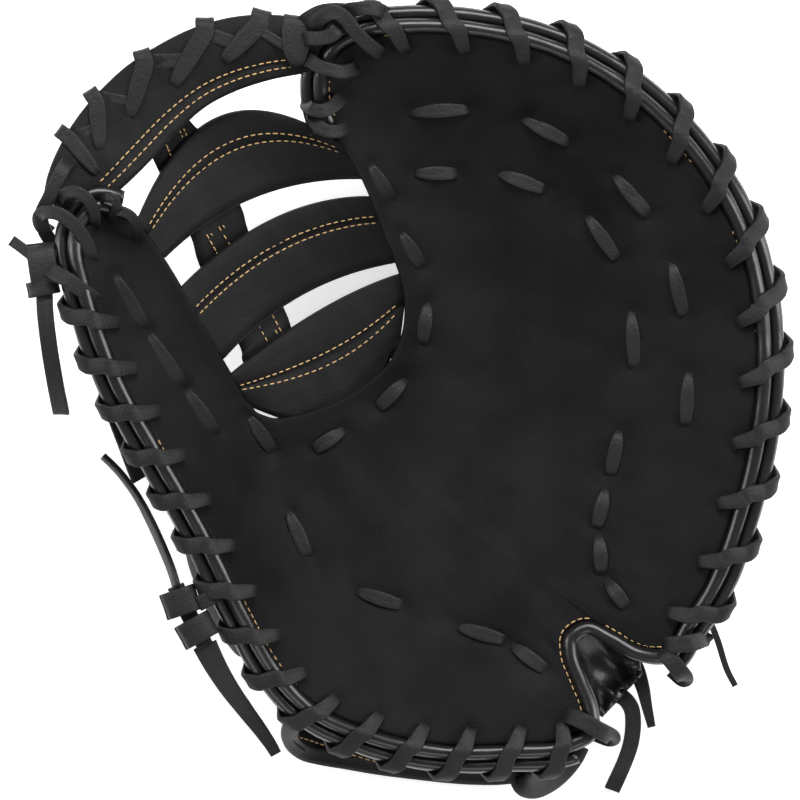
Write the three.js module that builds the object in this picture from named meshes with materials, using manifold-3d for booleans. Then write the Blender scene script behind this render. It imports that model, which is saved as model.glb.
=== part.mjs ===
// A first baseman mitt of black leather, lying on its back with the palm up.
// X runs from the thumb to the little finger, Y from the heel to the finger tips, Z up.
// The palm is one horseshoe of padded leather. It is described by sections that start at the
// web and end at the rim, in the order web corner, finger tips, heel notch, heel, thumb.

import * as THREE from 'three';
import { mergeVertices } from 'three/addons/utils/BufferGeometryUtils.js';
import Module from 'manifold-3d';

// Driving sizes in millimetres
const mittWidth = 248; // thumb roll to little finger roll
const mittLength = 262; // heel roll to finger tip roll
const mittHeight = 95; // ground to the highest roll
const palmWall = 3; // palm leather with its lining
const palmPad = 3.4; // padding added half way across a section
const backWall = 2.8; // back leather
const rollDiameter = 5.5; // rim rolls
const rearRollTilt = 0.63; // angle from the front roll down to the rear roll, in radians
const laceWidth = 6; // flat rawhide lace
const laceThick = 1.8;
const laceSqueeze = 3; // width of the lace where it goes through a hole
const holeInset = 5.2; // edge of the palm to the middle of a lace hole
const barThick = 6.2; // padded web bars
const barTuck = 3.4; // how far a bar goes in under the palm
const postThick = 2.5; // strap behind the bars
const strapThick = 3; // wrist strap
const gap = 0.35; // clearance between pieces that touch
const laceClearance = 0.55; // room for a lace in its passage through leather
const fingerWraps = 14; // turns of lace along the finger rim
const thumbWraps = 15; // turns of lace along the heel and the thumb
const knotWide = 13; // knots of lace: across, along and through
const knotLong = 15.5;
const knotThick = 8;
const strapEndWidth = 9.7; // loose strap ends behind the rim

const leather = { color: 0x232427, roughness: 0.62, metalness: 0 };
const glossyLeather = { color: 0x18181a, roughness: 0.3, metalness: 0 };
const rawhide = { color: 0x26262a, roughness: 0.5, metalness: 0 };

// Sections of the palm. X and Y are shares of the width and the length from the middle of the
// mitt, heights are shares of the height. dish is how deep the pocket is pressed in, and stall
// is how far the back leather stands off behind the palm.
const sectionTable = [
  // name, webX, webY, webZ, rimX, rimY, rimZ, dish, stall
  ['web corner low', -0.117, 0.343, 0.80, -0.131, 0.359, 0.82, 0, 0.08],
  ['web corner side', -0.114, 0.339, 0.79, -0.144, 0.4, 0.85, 0, 0.11],
  ['web corner', -0.11, 0.332, 0.78, -0.143, 0.438, 0.88, 0.01, 0.15],
  ['index tip left', -0.105, 0.324, 0.77, -0.121, 0.474, 0.91, 0.02, 0.19],
  ['index tip', -0.098, 0.313, 0.75, -0.08, 0.494, 0.92, 0.03, 0.24],
  ['index tip right', -0.089, 0.298, 0.73, -0.025, 0.5, 0.93, 0.05, 0.29],
  ['middle tip left', -0.07, 0.258, 0.67, 0.086, 0.495, 0.93, 0.08, 0.34],
  ['middle tip', -0.054, 0.218, 0.63, 0.202, 0.467, 0.91, 0.11, 0.34],
  ['middle tip right', -0.038, 0.18, 0.58, 0.319, 0.402, 0.88, 0.13, 0.34],
  ['ring tip', -0.025, 0.139, 0.53, 0.406, 0.317, 0.84, 0.14, 0.34],
  ['ring side', -0.024, 0.1, 0.5, 0.464, 0.224, 0.81, 0.14, 0.36],
  ['little tip', -0.031, 0.069, 0.48, 0.494, 0.118, 0.77, 0.14, 0.36],
  ['little side', -0.044, 0.043, 0.47, 0.5, 0.029, 0.74, 0.13, 0.36],
  ['little base', -0.065, 0.021, 0.46, 0.49, -0.071, 0.69, 0.12, 0.36],
  ['palm edge', -0.088, 0.004, 0.45, 0.465, -0.17, 0.65, 0.11, 0.36],
  ['palm edge low', -0.11, -0.008, 0.45, 0.426, -0.271, 0.61, 0.09, 0.34],
  ['notch shoulder', -0.124, -0.015, 0.44, 0.391, -0.324, 0.57, 0.08, 0.29],
  ['notch right', -0.134, -0.019, 0.44, 0.359, -0.366, 0.54, 0.07, 0.23],
  ['notch right in', -0.143, -0.022, 0.44, 0.319, -0.363, 0.51, 0.06, 0.19],
  ['notch top right', -0.152, -0.025, 0.44, 0.278, -0.342, 0.49, 0.06, 0.17],
  ['notch top', -0.159, -0.027, 0.44, 0.243, -0.328, 0.47, 0.06, 0.17],
  ['notch tip', -0.166, -0.03, 0.44, 0.221, -0.341, 0.47, 0.06, 0.17],
  ['notch left', -0.173, -0.032, 0.44, 0.22, -0.364, 0.47, 0.06, 0.17],
  ['notch left low', -0.181, -0.033, 0.45, 0.234, -0.401, 0.47, 0.06, 0.17],
  ['heel corner', -0.188, -0.034, 0.45, 0.25, -0.443, 0.48, 0.06, 0.17],
  ['heel corner low', -0.194, -0.036, 0.45, 0.25, -0.472, 0.49, 0.06, 0.17],
  ['heel right', -0.2, -0.037, 0.45, 0.221, -0.489, 0.49, 0.06, 0.17],
  ['heel', -0.207, -0.037, 0.45, 0.13, -0.499, 0.48, 0.07, 0.17],
  ['heel middle', -0.216, -0.037, 0.46, 0.028, -0.499, 0.48, 0.08, 0.17],
  ['heel left', -0.227, -0.034, 0.47, -0.073, -0.478, 0.52, 0.08, 0.19],
  ['thumb base low', -0.239, -0.029, 0.49, -0.16, -0.44, 0.57, 0.07, 0.27],
  ['thumb base', -0.247, -0.021, 0.52, -0.216, -0.383, 0.63, 0.06, 0.44],
  ['thumb side', -0.258, -0.01, 0.55, -0.258, -0.312, 0.71, 0.04, 0.46],
  ['thumb side high', -0.279, 0.029, 0.62, -0.32, -0.192, 0.8, 0.03, 0.38],
  ['thumb middle', -0.31, 0.078, 0.69, -0.393, -0.07, 0.88, 0.02, 0.32],
  ['thumb high', -0.33, 0.113, 0.74, -0.436, 0.004, 0.93, 0.02, 0.29],
  ['thumb tip low', -0.352, 0.151, 0.78, -0.47, 0.084, 0.96, 0.02, 0.27],
  ['thumb tip', -0.374, 0.185, 0.83, -0.491, 0.152, 0.98, 0.01, 0.23],
  ['thumb tip left', -0.39, 0.207, 0.86, -0.5, 0.196, 0.98, 0.01, 0.17],
  ['thumb corner', -0.398, 0.218, 0.88, -0.494, 0.229, 0.97, 0, 0.13],
  ['thumb corner top', -0.406, 0.227, 0.89, -0.47, 0.253, 0.96, 0, 0.08],
  ['thumb corner end', -0.411, 0.232, 0.89, -0.433, 0.247, 0.94, 0, 0.06],
];

// Rows of the web, from the finger tips down to the crotch: where each row meets the thumb and
// the fingers, how far it bows up between them, and how far it hangs down. A height of null
// means that the row's end goes in under the palm there.
const webTable = [
  // name, thumbX, thumbY, thumbZ, fingerX, fingerY, fingerZ, bow, sag
  ['top bar top', -0.52, 0.334, 1.02, -0.176, 0.512, 0.97, 0.055, 0.03],
  ['top bar low', -0.437, 0.293, 0.97, -0.192, 0.436, 0.9, 0.04, 0.05],
  ['second bar top', -0.41, 0.24, null, -0.125, 0.348, null, 0.063, 0.09],
  ['second bar low', -0.371, 0.183, null, -0.085, 0.292, null, 0.032, 0.11],
  ['third bar top', -0.349, 0.144, null, -0.076, 0.269, null, 0.024, 0.11],
  ['third bar low', -0.286, 0.045, null, -0.038, 0.177, null, 0.024, 0.09],
  ['fourth bar top', -0.276, 0.026, null, -0.031, 0.163, null, 0.01, 0.08],
  ['fourth bar low', -0.244, -0.024, null, -0.044, 0.045, null, -0.04, 0.03],
];

// Running laces in the palm: each row is one visible strip from one hole to the next,
// as shares of the width and the length.
const pocketLaces = {
  outer_lace: [
    [-0.015, 0.383, 0.069, 0.389],
    [0.149, 0.375, 0.217, 0.342],
    [0.282, 0.297, 0.333, 0.242],
    [0.366, 0.177, 0.384, 0.104],
    [0.391, 0.026, 0.387, -0.047],
  ],
  inner_lace: [
    [-0.008, 0.301, 0.053, 0.301],
    [0.115, 0.301, 0.181, 0.279],
    [0.243, 0.242, 0.287, 0.183],
    [0.308, 0.111, 0.313, 0.032],
    [0.291, -0.054, 0.278, -0.115],
    [0.271, -0.136, 0.258, -0.188],
    [0.261, -0.198, 0.265, -0.253],
    [0.271, -0.26, 0.301, -0.298],
  ],
  web_side_lace: [
    [-0.074, 0.312, -0.042, 0.264],
    [-0.028, 0.218, 0.002, 0.172],
    [0.011, 0.122, 0.002, 0.066],
    [-0.022, 0.015, -0.062, -0.023],
    [-0.112, -0.054, -0.157, -0.081],
  ],
  thumb_lace: [
    [-0.443, 0.159, -0.4, 0.087],
    [-0.396, 0.08, -0.346, 0.008],
    [-0.342, 0.003, -0.298, -0.058],
    [-0.25, -0.036, -0.216, -0.083],
    [-0.194, -0.166, -0.165, -0.229],
  ],
  heel_lace: [
    [-0.095, -0.277, -0.027, -0.297],
    [0.054, -0.326, 0.123, -0.345],
    [0.133, -0.351, 0.184, -0.386],
  ],
};

// The wrist strap, from its thumb end to its little finger end. low and high are its two edges
// in Y, and z is the height of its outer face. A height of null means right under the palm.
const strapTable = [
  // x, z, low, high
  [-0.178, null, -0.385, -0.33],
  [-0.196, 0.3, -0.47, -0.35],
  [-0.16, 0.08, -0.505, -0.37],
  [-0.085, 0, -0.525, -0.38],
  [0.075, 0, -0.534, -0.38],
  [0.165, 0.07, -0.53, -0.37],
  [0.212, 0.26, -0.505, -0.36],
  [0.19, null, -0.41, -0.34],
];

// Routes of the free lace ends, chosen point by point in millimetres from where each one comes
// out of its knot
const webTailRoute = [
  [0, 0, 0], [0.1, -3.2, -0.2], [0.4, -7.2, -0.7], [0.8, -11.2, -1.5], [1.3, -15.2, -2.7],
  [1.8, -19.2, -4.2], [2.4, -23.2, -6.1], [3, -27.2, -8.4], [3.6, -31, -11.1], [4.2, -34.6, -14.1],
  [4.8, -38, -17.5], [5.3, -41.1, -21.2],
];
const thumbTailUpperRoute = [
  [0, 0, 0], [-0.9, 3.3, -0.6], [-2.3, 7.3, -2.4], [-4.1, 11.6, -5.4], [-6.1, 16, -9.4],
  [-8.2, 20.4, -13.8], [-10.4, 24.7, -18], [-12.7, 29, -21.6], [-15.2, 33.2, -24],
  [-18, 37.1, -25.4], [-20.9, 40.8, -26.4], [-24.1, 44.2, -27], [-27.3, 47.2, -27.2],
];
const thumbTailLowerRoute = [
  [0, 0, 0], [1.5, -3.2, -1], [3.4, -7, -3.4], [5.6, -11, -6.8], [8, -15, -10.6], [10.5, -18.8, -14.4],
  [13.1, -22.4, -17.8], [15.7, -26, -20.6], [18.4, -29.6, -22.8], [21, -33.2, -24.2],
  [23.4, -36.8, -25.2], [25.4, -40.2, -25.5],
];

const rollRadius = rollDiameter / 2;
const rollPitch = rollDiameter + gap;
const rearOut = rollPitch * Math.cos(rearRollTilt);
const rearDrop = rollPitch * Math.sin(rearRollTilt);
const edgeInset = rollRadius + gap;
const rearLean = 0.4; // lean of a turn of lace behind the rim, in radians
const rearReach = 1.24 * (edgeInset + laceThick / 2); // rear roll to the middle of a turn of lace
const webGap = 0.75;
const webSeat = barThick + 2 * webGap;

const lerp = (a, b, s) => a + (b - a) * s;
const clamp = (value, low, high) => Math.min(Math.max(value, low), high);
const column = (table, index) => table.map((row) => row[index]);

// A smooth function through the values at the knots.
function curve(knots, values) {
  const last = knots.length - 1;
  const slopes = values.map((value, i) => {
    const a = Math.max(i - 1, 0);
    const b = Math.min(i + 1, last);
    if (i === a || i === b) return (values[b] - values[a]) / (knots[b] - knots[a]);
    const before = (value - values[a]) / (knots[i] - knots[a]);
    const after = (values[b] - value) / (knots[b] - knots[i]);
    const share = (knots[i] - knots[a]) / (knots[b] - knots[a]);
    return lerp(before, after, share);
  });
  return (t) => {
    let i = 0;
    while (i < last - 1 && t > knots[i + 1]) i += 1;
    const span = knots[i + 1] - knots[i];
    const s = (t - knots[i]) / span;
    const start = (1 + 2 * s) * (1 - s) ** 2 * values[i] + s * (1 - s) ** 2 * span * slopes[i];
    const end = s * s * (3 - 2 * s) * values[i + 1] + s * s * (s - 1) * span * slopes[i + 1];
    return start + end;
  };
}

// The palm: knots along the rim are the lengths between its sections.
const rimX = column(sectionTable, 4).map((share) => share * mittWidth);
const rimY = column(sectionTable, 5).map((share) => share * mittLength);
const knots = [0];
for (let i = 1; i < rimX.length; i += 1) {
  knots.push(knots[i - 1] + Math.hypot(rimX[i] - rimX[i - 1], rimY[i] - rimY[i - 1]));
}
const palm = {
  webX: curve(knots, column(sectionTable, 1).map((share) => share * mittWidth)),
  webY: curve(knots, column(sectionTable, 2).map((share) => share * mittLength)),
  webZ: curve(knots, column(sectionTable, 3).map((share) => share * mittHeight)),
  rimX: curve(knots, rimX),
  rimY: curve(knots, rimY),
  rimZ: curve(knots, column(sectionTable, 6).map((share) => share * mittHeight)),
  dish: curve(knots, column(sectionTable, 7).map((share) => share * mittHeight)),
  stall: curve(knots, column(sectionTable, 8).map((share) => share * mittHeight)),
};
const knotOf = (name) => knots[sectionTable.findIndex((row) => row[0] === name)];
const rimEnd = knots[knots.length - 1];
const fingersEnd = knotOf('notch right');
const heelStart = knotOf('heel corner low');
const thumbStart = knotOf('thumb base');

// The middle of the front roll at t, with the direction out from the palm and along the rim.
function rim(t) {
  const step = 0.5;
  const dx = palm.rimX(t + step) - palm.rimX(t - step);
  const dy = palm.rimY(t + step) - palm.rimY(t - step);
  const size = Math.hypot(dx, dy);
  return {
    x: palm.rimX(t), y: palm.rimY(t), z: palm.rimZ(t),
    outX: -dy / size, outY: dx / size, alongX: dx / size, alongY: dy / size,
  };
}

// The point beside the rim at t: out from the front roll and up from its middle.
function rimPoint(t, out, up) {
  const r = rim(t);
  return new THREE.Vector3(r.x + r.outX * out, r.y + r.outY * out, r.z + up);
}

// A section is a straight line in plan, from the web edge to the outer edge of the leather.
function sectionPoint(t, v, edgeOut) {
  const r = rim(t);
  const x = lerp(palm.webX(t), r.x + r.outX * edgeOut, v);
  const y = lerp(palm.webY(t), r.y + r.outY * edgeOut, v);
  return { x, y };
}

const palmEdgeOut = -edgeInset;
const backEdgeOut = rearOut - edgeInset;

function palmTop(t, v) {
  const rise = (palm.rimZ(t) - palm.webZ(t)) * v * v;
  const deepest = 6.75; // makes the dish a share of its greatest depth, a third of the way out
  return palm.webZ(t) + rise - palm.dish(t) * deepest * v * (1 - v) ** 2;
}

function palmBottom(t, v) {
  return palmTop(t, v) - palmWall - palmPad * Math.sin(Math.PI * v) ** 2;
}

function sectionLength(t, edgeOut) {
  const r = rim(t);
  return Math.hypot(r.x + r.outX * edgeOut - palm.webX(t), r.y + r.outY * edgeOut - palm.webY(t));
}

// Between two fingers the back leather is drawn in towards the palm.
const stallSeams = ['index tip right', 'middle tip right', 'little tip'].map(knotOf);
const seamWidth = 8;
const seamDepth = 0.3;

function backBottom(t, v) {
  const length = sectionLength(t, backEdgeOut);
  const palmLength = sectionLength(t, palmEdgeOut);
  const palmV = clamp((v * length) / palmLength, Math.min(barTuck / palmLength, 1), 1);
  const fromRim = (1 - v) * length;
  const fromWeb = v * length;
  const rimRound = 1 - Math.exp(-((fromRim / (0.058 * mittWidth)) ** 2));
  const webRound = 1 - Math.exp(-((fromWeb / (0.04 * mittWidth)) ** 2));
  const seam = stallSeams.reduce((sum, at) => sum + Math.exp(-(((t - at) / seamWidth) ** 2)), 0);
  const depth = palm.stall(t) * rimRound * webRound * (1 - seamDepth * seam);
  const barEnd = 2.2 * barTuck;
  const beyond = clamp((fromWeb - barEnd) / Math.max(length - barEnd, barTuck), 0, 1);
  const seat = lerp(webSeat, gap, beyond * beyond * (3 - 2 * beyond));
  return Math.max(palmBottom(t, palmV) - seat - depth - backWall, 0);
}

// Steps along the rim: all sections between two places, with each long one divided.
function rimSteps(from, to, longest) {
  const inside = knots.filter((knot) => knot > from && knot < to);
  const stops = [from, ...inside, to];
  const steps = [from];
  for (let i = 1; i < stops.length; i += 1) {
    const count = Math.max(1, Math.round((stops[i] - stops[i - 1]) / longest));
    for (let k = 1; k <= count; k += 1) steps.push(lerp(stops[i - 1], stops[i], k / count));
  }
  return steps;
}

const spread = (count) => Array.from({ length: count + 1 }, (_, i) => i / count);

// Joins closed rings of equal length into one solid. The ends are closed by a strip between the
// first and the second half of the ring.
function loft(rings) {
  const size = rings[0].length;
  const positions = rings.flat().flatMap((p) => [p.x, p.y, p.z]);
  const index = [];
  for (let i = 0; i + 1 < rings.length; i += 1) {
    for (let j = 0; j < size; j += 1) {
      const a = i * size + j;
      const b = i * size + ((j + 1) % size);
      index.push(a, b, b + size, a, b + size, a + size);
    }
  }
  const last = (rings.length - 1) * size;
  for (let j = 0; j < size / 2 - 1; j += 1) {
    const mate = size - 1 - j;
    index.push(j, mate, mate - 1, j, mate - 1, j + 1);
    index.push(last + j, last + mate - 1, last + mate, last + j, last + j + 1, last + mate - 1);
  }
  const geometry = new THREE.BufferGeometry();
  geometry.setAttribute('position', new THREE.Float32BufferAttribute(positions, 3));
  geometry.setIndex(volume(positions, index) > 0 ? index : index.reverse());
  return geometry;
}

function volume(positions, index) {
  const corner = (i) => new THREE.Vector3().fromArray(positions, 3 * i);
  let sum = 0;
  for (let i = 0; i < index.length; i += 3) {
    sum += corner(index[i]).dot(corner(index[i + 1]).cross(corner(index[i + 2])));
  }
  return sum / 6;
}

// A wall between a top and a bottom height over the same plan.
function shell(steps, shares, plan, top, bottom) {
  const at = (t, v, height) => {
    const { x, y } = plan(t, v);
    return new THREE.Vector3(x, y, height(t, v));
  };
  return loft(steps.map((t) => [
    ...shares.map((v) => at(t, v, top)),
    ...shares.toReversed().map((v) => at(t, v, bottom)),
  ]));
}

// A round roll along the rim.
function roll(from, to, out, drop, radius) {
  const sides = 6;
  return loft(rimSteps(from, to, 14).map((t) => spread(sides).slice(0, sides).map((share) => {
    const angle = (share + 0.5 / sides) * 2 * Math.PI;
    return rimPoint(t, out + radius * Math.cos(angle), radius * Math.sin(angle) - drop);
  })));
}

// The corners of a flat band at each of its points, which have their own width direction, width
// and thickness. grow makes it fatter all round, for the passage that it needs.
function bandRings(points, grow) {
  return points.map((point, i) => {
    const before = points[Math.max(i - 1, 0)].at;
    const after = points[Math.min(i + 1, points.length - 1)].at;
    const into = point.at.clone().sub(before).normalize();
    const onward = after.clone().sub(point.at).normalize();
    const travel = into.clone().add(onward).normalize();
    const normal = travel.clone().cross(point.side).normalize();
    const across = normal.clone().cross(travel).normalize().multiplyScalar(point.width / 2 + grow);
    const bend = clamp(Math.sqrt((1 + into.dot(onward)) / 2), 0.7, 1);
    const single = i === 0 || i === points.length - 1;
    normal.multiplyScalar((point.thick / 2 + grow) / (single ? 1 : bend));
    const corner = (a, b) => point.at.clone().addScaledVector(across, a).addScaledVector(normal, b);
    return [corner(-1, 1), corner(1, 1), corner(1, -1), corner(-1, -1)];
  });
}

const band = (points) => loft(bandRings(points, 0));

// The leather before its lace holes are punched
const palmShares = [0, 0.16, 0.34, 0.55, 0.8, 1];
const palmPlan = (t, v) => sectionPoint(t, v, palmEdgeOut);
const palmShell = shell(rimSteps(0, rimEnd, 20), palmShares, palmPlan, palmTop, palmBottom);
const backShares = [0, 0.05, 0.12, 0.25, 0.45, 0.65, 0.8, 0.92, 1];
const backPlan = (t, v) => sectionPoint(t, v, backEdgeOut);
const backTop = (t, v) => backBottom(t, v) + backWall;
const backShell = (from, to) => shell(rimSteps(from, to, 18), backShares, backPlan, backTop, backBottom);
const backFingersShell = backShell(0, fingersEnd);
const backThumbShell = backShell(thumbStart, rimEnd);

// The height of leather met by a ray straight down from above or straight up from below.
const caster = new THREE.Raycaster();
function heightOf(geometries, x, y, fromAbove) {
  const far = 10 * mittHeight;
  const start = new THREE.Vector3(x, y, fromAbove ? far : -far);
  caster.set(start, new THREE.Vector3(0, 0, fromAbove ? -1 : 1));
  const heights = geometries
    .flatMap((geometry) => caster.intersectObject(new THREE.Mesh(geometry)))
    .map((hit) => hit.point.z);
  return fromAbove ? Math.max(...heights) : Math.min(...heights);
}

// The same for the whole width of a lace lying there. A lace that lies just beside the leather is
// laid level with its edge.
function heightUnderLace(geometries, x, y, side, width, fromAbove, edge) {
  const heights = [-0.5, 0, 0.5]
    .map((share) => heightOf(geometries, x + side.x * share * width, y + side.y * share * width, fromAbove))
    .filter(Number.isFinite);
  if (heights.length === 0) return edge;
  return fromAbove ? Math.max(...heights) : Math.min(...heights);
}

const allLeather = [palmShell, backFingersShell, backThumbShell];

// One turn after another of lace round both rolls. Each turn comes up through its hole, leans
// along the rim as it crosses the rolls, and goes back behind the rim to the next hole.
function rimLace(turns) {
  const lean = Math.sign(turns[1] - turns[0]);
  const middle = edgeInset + laceThick / 2;
  const frontLean = 0.66;
  const over = Math.PI / 2;
  const turnTable = [
    // share of the way on, roll, angle, distance from the roll, lean
    [0.2, 'front', 1.85, 1.26, frontLean],
    [0.32, 'front', 0.9, 1.22, frontLean],
    [0.48, 'rear', 0.66, 1.2, frontLean / 2],
    [0.6, 'rear', -0.35, 1.24, rearLean / 2],
    [0.72, 'rear', -1.5, 1.24, rearLean],
  ];
  const squeezed = { width: laceSqueeze, thick: laceThick * 1.2 };
  const flat = { width: laceWidth, thick: laceThick };
  const lift = laceThick / 2 + gap + 0.4;
  const points = [];
  // The width direction of a lace that crosses a roll at an angle and leans along it.
  const sideAt = (t, angle, tilt) => {
    const r = rim(t);
    const swing = -Math.sin(tilt) * lean;
    return new THREE.Vector3(
      r.alongX * Math.cos(tilt) + r.outX * Math.sin(angle) * swing,
      r.alongY * Math.cos(tilt) + r.outY * Math.sin(angle) * swing,
      -Math.cos(angle) * swing,
    );
  };
  const lay = (t, out, fromAbove, tilt, section) => {
    const side = sideAt(t, over, tilt);
    const at = rimPoint(t, out, 0);
    const edge = (t < fingersEnd || t > thumbStart ? backBottom : palmBottom)(t, 1);
    const height = heightUnderLace(allLeather, at.x, at.y, side, section.width, fromAbove, edge);
    at.z = height + (fromAbove ? lift : -lift);
    points.push({ at, side, ...section });
  };
  turns.forEach((t, i) => {
    const pitch = i + 1 < turns.length ? turns[i + 1] - t : t - turns[i - 1];
    const hasBack = t < fingersEnd || t > thumbStart;
    lay(t, -edgeInset - (hasBack ? 0 : laceThick), false, -rearLean / 2, squeezed);
    lay(t, -edgeInset - holeInset, true, frontLean / 2, squeezed);
    turnTable.forEach(([share, which, angle, reach, tilt]) => {
      const at = t + share * pitch;
      const out = (which === 'rear' ? rearOut : 0) + middle * reach * Math.cos(angle);
      const up = (which === 'rear' ? -rearDrop : 0) + middle * reach * Math.sin(angle);
      points.push({ at: rimPoint(at, out, up), side: sideAt(at, angle, tilt), ...flat });
    });
  });
  return points;
}

const evenTurns = (from, to, count) => spread(count - 1).map((share) => lerp(from, to, share));

// A running lace: it shows between the two holes of each strip and is hidden between strips.
function pocketLace(strips) {
  const lift = laceThick / 2 + gap;
  const points = [];
  const squeezed = { width: laceSqueeze, thick: laceThick };
  const flat = { width: laceWidth, thick: laceThick };
  const run = (from, to, share, fromAbove, raise, section) => {
    const side = new THREE.Vector3(from.y - to.y, to.x - from.x, 0).normalize();
    const x = lerp(from.x, to.x, share);
    const y = lerp(from.y, to.y, share);
    const height = heightUnderLace([palmShell], x, y, side, section.width, fromAbove, 0);
    const z = height + (fromAbove ? 1 : -1) * (lift + raise);
    points.push({ at: new THREE.Vector3(x, y, z), side, ...section });
  };
  let last = null;
  strips.forEach(([x0, y0, x1, y1]) => {
    const start = new THREE.Vector3(x0 * mittWidth, y0 * mittLength, 0);
    const end = new THREE.Vector3(x1 * mittWidth, y1 * mittLength, 0);
    if (last) {
      run(last, start, 0.5, false, 0.5, squeezed);
    }
    run(start, end, 0, false, 0.3, squeezed);
    run(start, end, 0.02, true, 0, squeezed);
    run(start, end, 0.5, true, 0.8, flat);
    run(start, end, 0.98, true, 0, squeezed);
    run(start, end, 1, false, 0.3, squeezed);
    last = end;
  });
  return points;
}

// The web: a net of rows across and places along them.
const webKnots = webTable.map((row, i) => i);
const underPalm = (x, y) => {
  const near = rimSteps(0, rimEnd, 3).map((t) => ({
    t, miss: Math.hypot(palm.webX(t) - x, palm.webY(t) - y),
  })).reduce((best, here) => (here.miss < best.miss ? here : best));
  const tuckV = barTuck / sectionLength(near.t, palmEdgeOut);
  return Math.min(palmBottom(near.t, 0), palmBottom(near.t, tuckV)) - webGap;
};
const webEnd = (side) => {
  const x = column(webTable, side).map((share) => share * mittWidth);
  const y = column(webTable, side + 1).map((share) => share * mittLength);
  const z = column(webTable, side + 2).map((share, i) => (
    share === null ? underPalm(x[i], y[i]) : share * mittHeight));
  return { x: curve(webKnots, x), y: curve(webKnots, y), z: curve(webKnots, z) };
};
const web = {
  thumb: webEnd(1),
  finger: webEnd(4),
  bow: curve(webKnots, column(webTable, 7).map((share) => share * 4 * mittLength)),
  sag: curve(webKnots, column(webTable, 8).map((share) => share * 4 * mittHeight)),
};

function webPoint(q, s) {
  const inside = clamp(s, 0, 1);
  const arch = inside * (1 - inside);
  const dx = web.finger.x(q) - web.thumb.x(q);
  const dy = web.finger.y(q) - web.thumb.y(q);
  const size = Math.hypot(dx, dy);
  return new THREE.Vector3(
    lerp(web.thumb.x(q), web.finger.x(q), s) - (dy / size) * web.bow(q) * arch,
    lerp(web.thumb.y(q), web.finger.y(q), s) + (dx / size) * web.bow(q) * arch,
    lerp(web.thumb.z(q), web.finger.z(q), inside) - web.sag(q) * arch,
  );
}

const webRow = (name) => webTable.findIndex((row) => row[0] === name);

// A padded bar between two rows of the web, rounded at both edges.
function webBar(from, to, tucked) {
  const width = Math.hypot(
    web.thumb.x(from) - web.finger.x(from), web.thumb.y(from) - web.finger.y(from));
  const tuck = tucked ? barTuck / width : 0;
  const stations = spread(10).map((share) => lerp(-tuck, 1 + tuck, share));
  const round = (f) => (barThick / 2) * (1 - 0.92 * Math.sqrt(1 - (2 * f - 1) ** 4));
  const at = (f, s, depth) => {
    const point = webPoint(lerp(from, to, f), s);
    point.z -= depth;
    return point;
  };
  const shares = [0, 0.14, 0.5, 0.86, 1];
  return loft(stations.map((s) => [
    ...shares.map((f) => at(f, s, round(f))),
    ...shares.toReversed().map((f) => at(f, s, barThick - round(f))),
  ]));
}

// The strap behind the bars.
function webPost() {
  const from = webRow('top bar top') + 0.8;
  const to = webRow('fourth bar low') - 0.4;
  const rows = spread(16).map((share) => lerp(from, to, share));
  const edge = (q, f) => {
    const way = (q - from) / (to - from);
    return lerp(lerp(0.2, 0.06, way), lerp(0.45, 0.37, way), f);
  };
  const at = (q, f, depth) => {
    const point = webPoint(q, edge(q, f));
    point.z -= depth;
    return point;
  };
  const top = barThick + gap;
  return loft(rows.map((q) => [
    ...[0, 0.5, 1].map((f) => at(q, f, top)),
    ...[1, 0.5, 0].map((f) => at(q, f, top + postThick)),
  ]));
}

// The lace wound round the top bar, through holes along its middle.
function topBarLace() {
  const from = webRow('top bar top');
  const turns = evenTurns(0.1, 0.84, 6);
  const step = turns[1] - turns[0];
  const lift = laceThick / 2 + gap;
  const half = barThick / 2;
  const turnTable = [
    // share across the bar, share of the way on, height over the middle, width, thickness
    [0.5, 0, -half - lift - 0.4, laceSqueeze, laceThick * 1.2],
    [0.5, 0, half + lift + 0.4, laceSqueeze, laceThick * 1.2],
    [0.2, 0.25, half + lift + 0.2, laceWidth, laceThick],
    [-0.16, 0.42, half * 0.5, laceWidth, laceThick],
    [-0.16, 0.52, -half * 0.6, laceWidth, laceThick],
    [0.2, 0.75, -half - lift - 0.2, laceWidth, laceThick],
  ];
  const points = [];
  turns.forEach((turn) => {
    turnTable.forEach(([across, way, height, width, thick]) => {
      const s = clamp(turn + way * step, 0, 1);
      const at = webPoint(from + across, s);
      const side = webPoint(from + 0.5, Math.min(s + 0.05, 1)).sub(webPoint(from + 0.5, s - 0.05));
      at.z += height - half;
      points.push({ at, side: side.normalize(), width, thick });
    });
  });
  return points;
}

// The lining folded down inside the heel notch.
function notchGusset() {
  const meet = new THREE.Vector3(0.29 * mittWidth, -0.42 * mittLength, 0.2 * mittHeight);
  const steps = rimSteps(knotOf('notch right in'), knotOf('heel corner'), 9);
  const start = rollRadius + gap;
  const at = (t, f, depth) => {
    const edge = rimPoint(t, -1, -start);
    edge.lerp(meet, f * 0.8);
    edge.z -= depth;
    return edge;
  };
  return loft(steps.map((t) => [
    ...[0, 0.5, 1].map((f) => at(t, f, 0)),
    ...[1, 0.5, 0].map((f) => at(t, f, 2)),
  ]));
}

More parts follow.
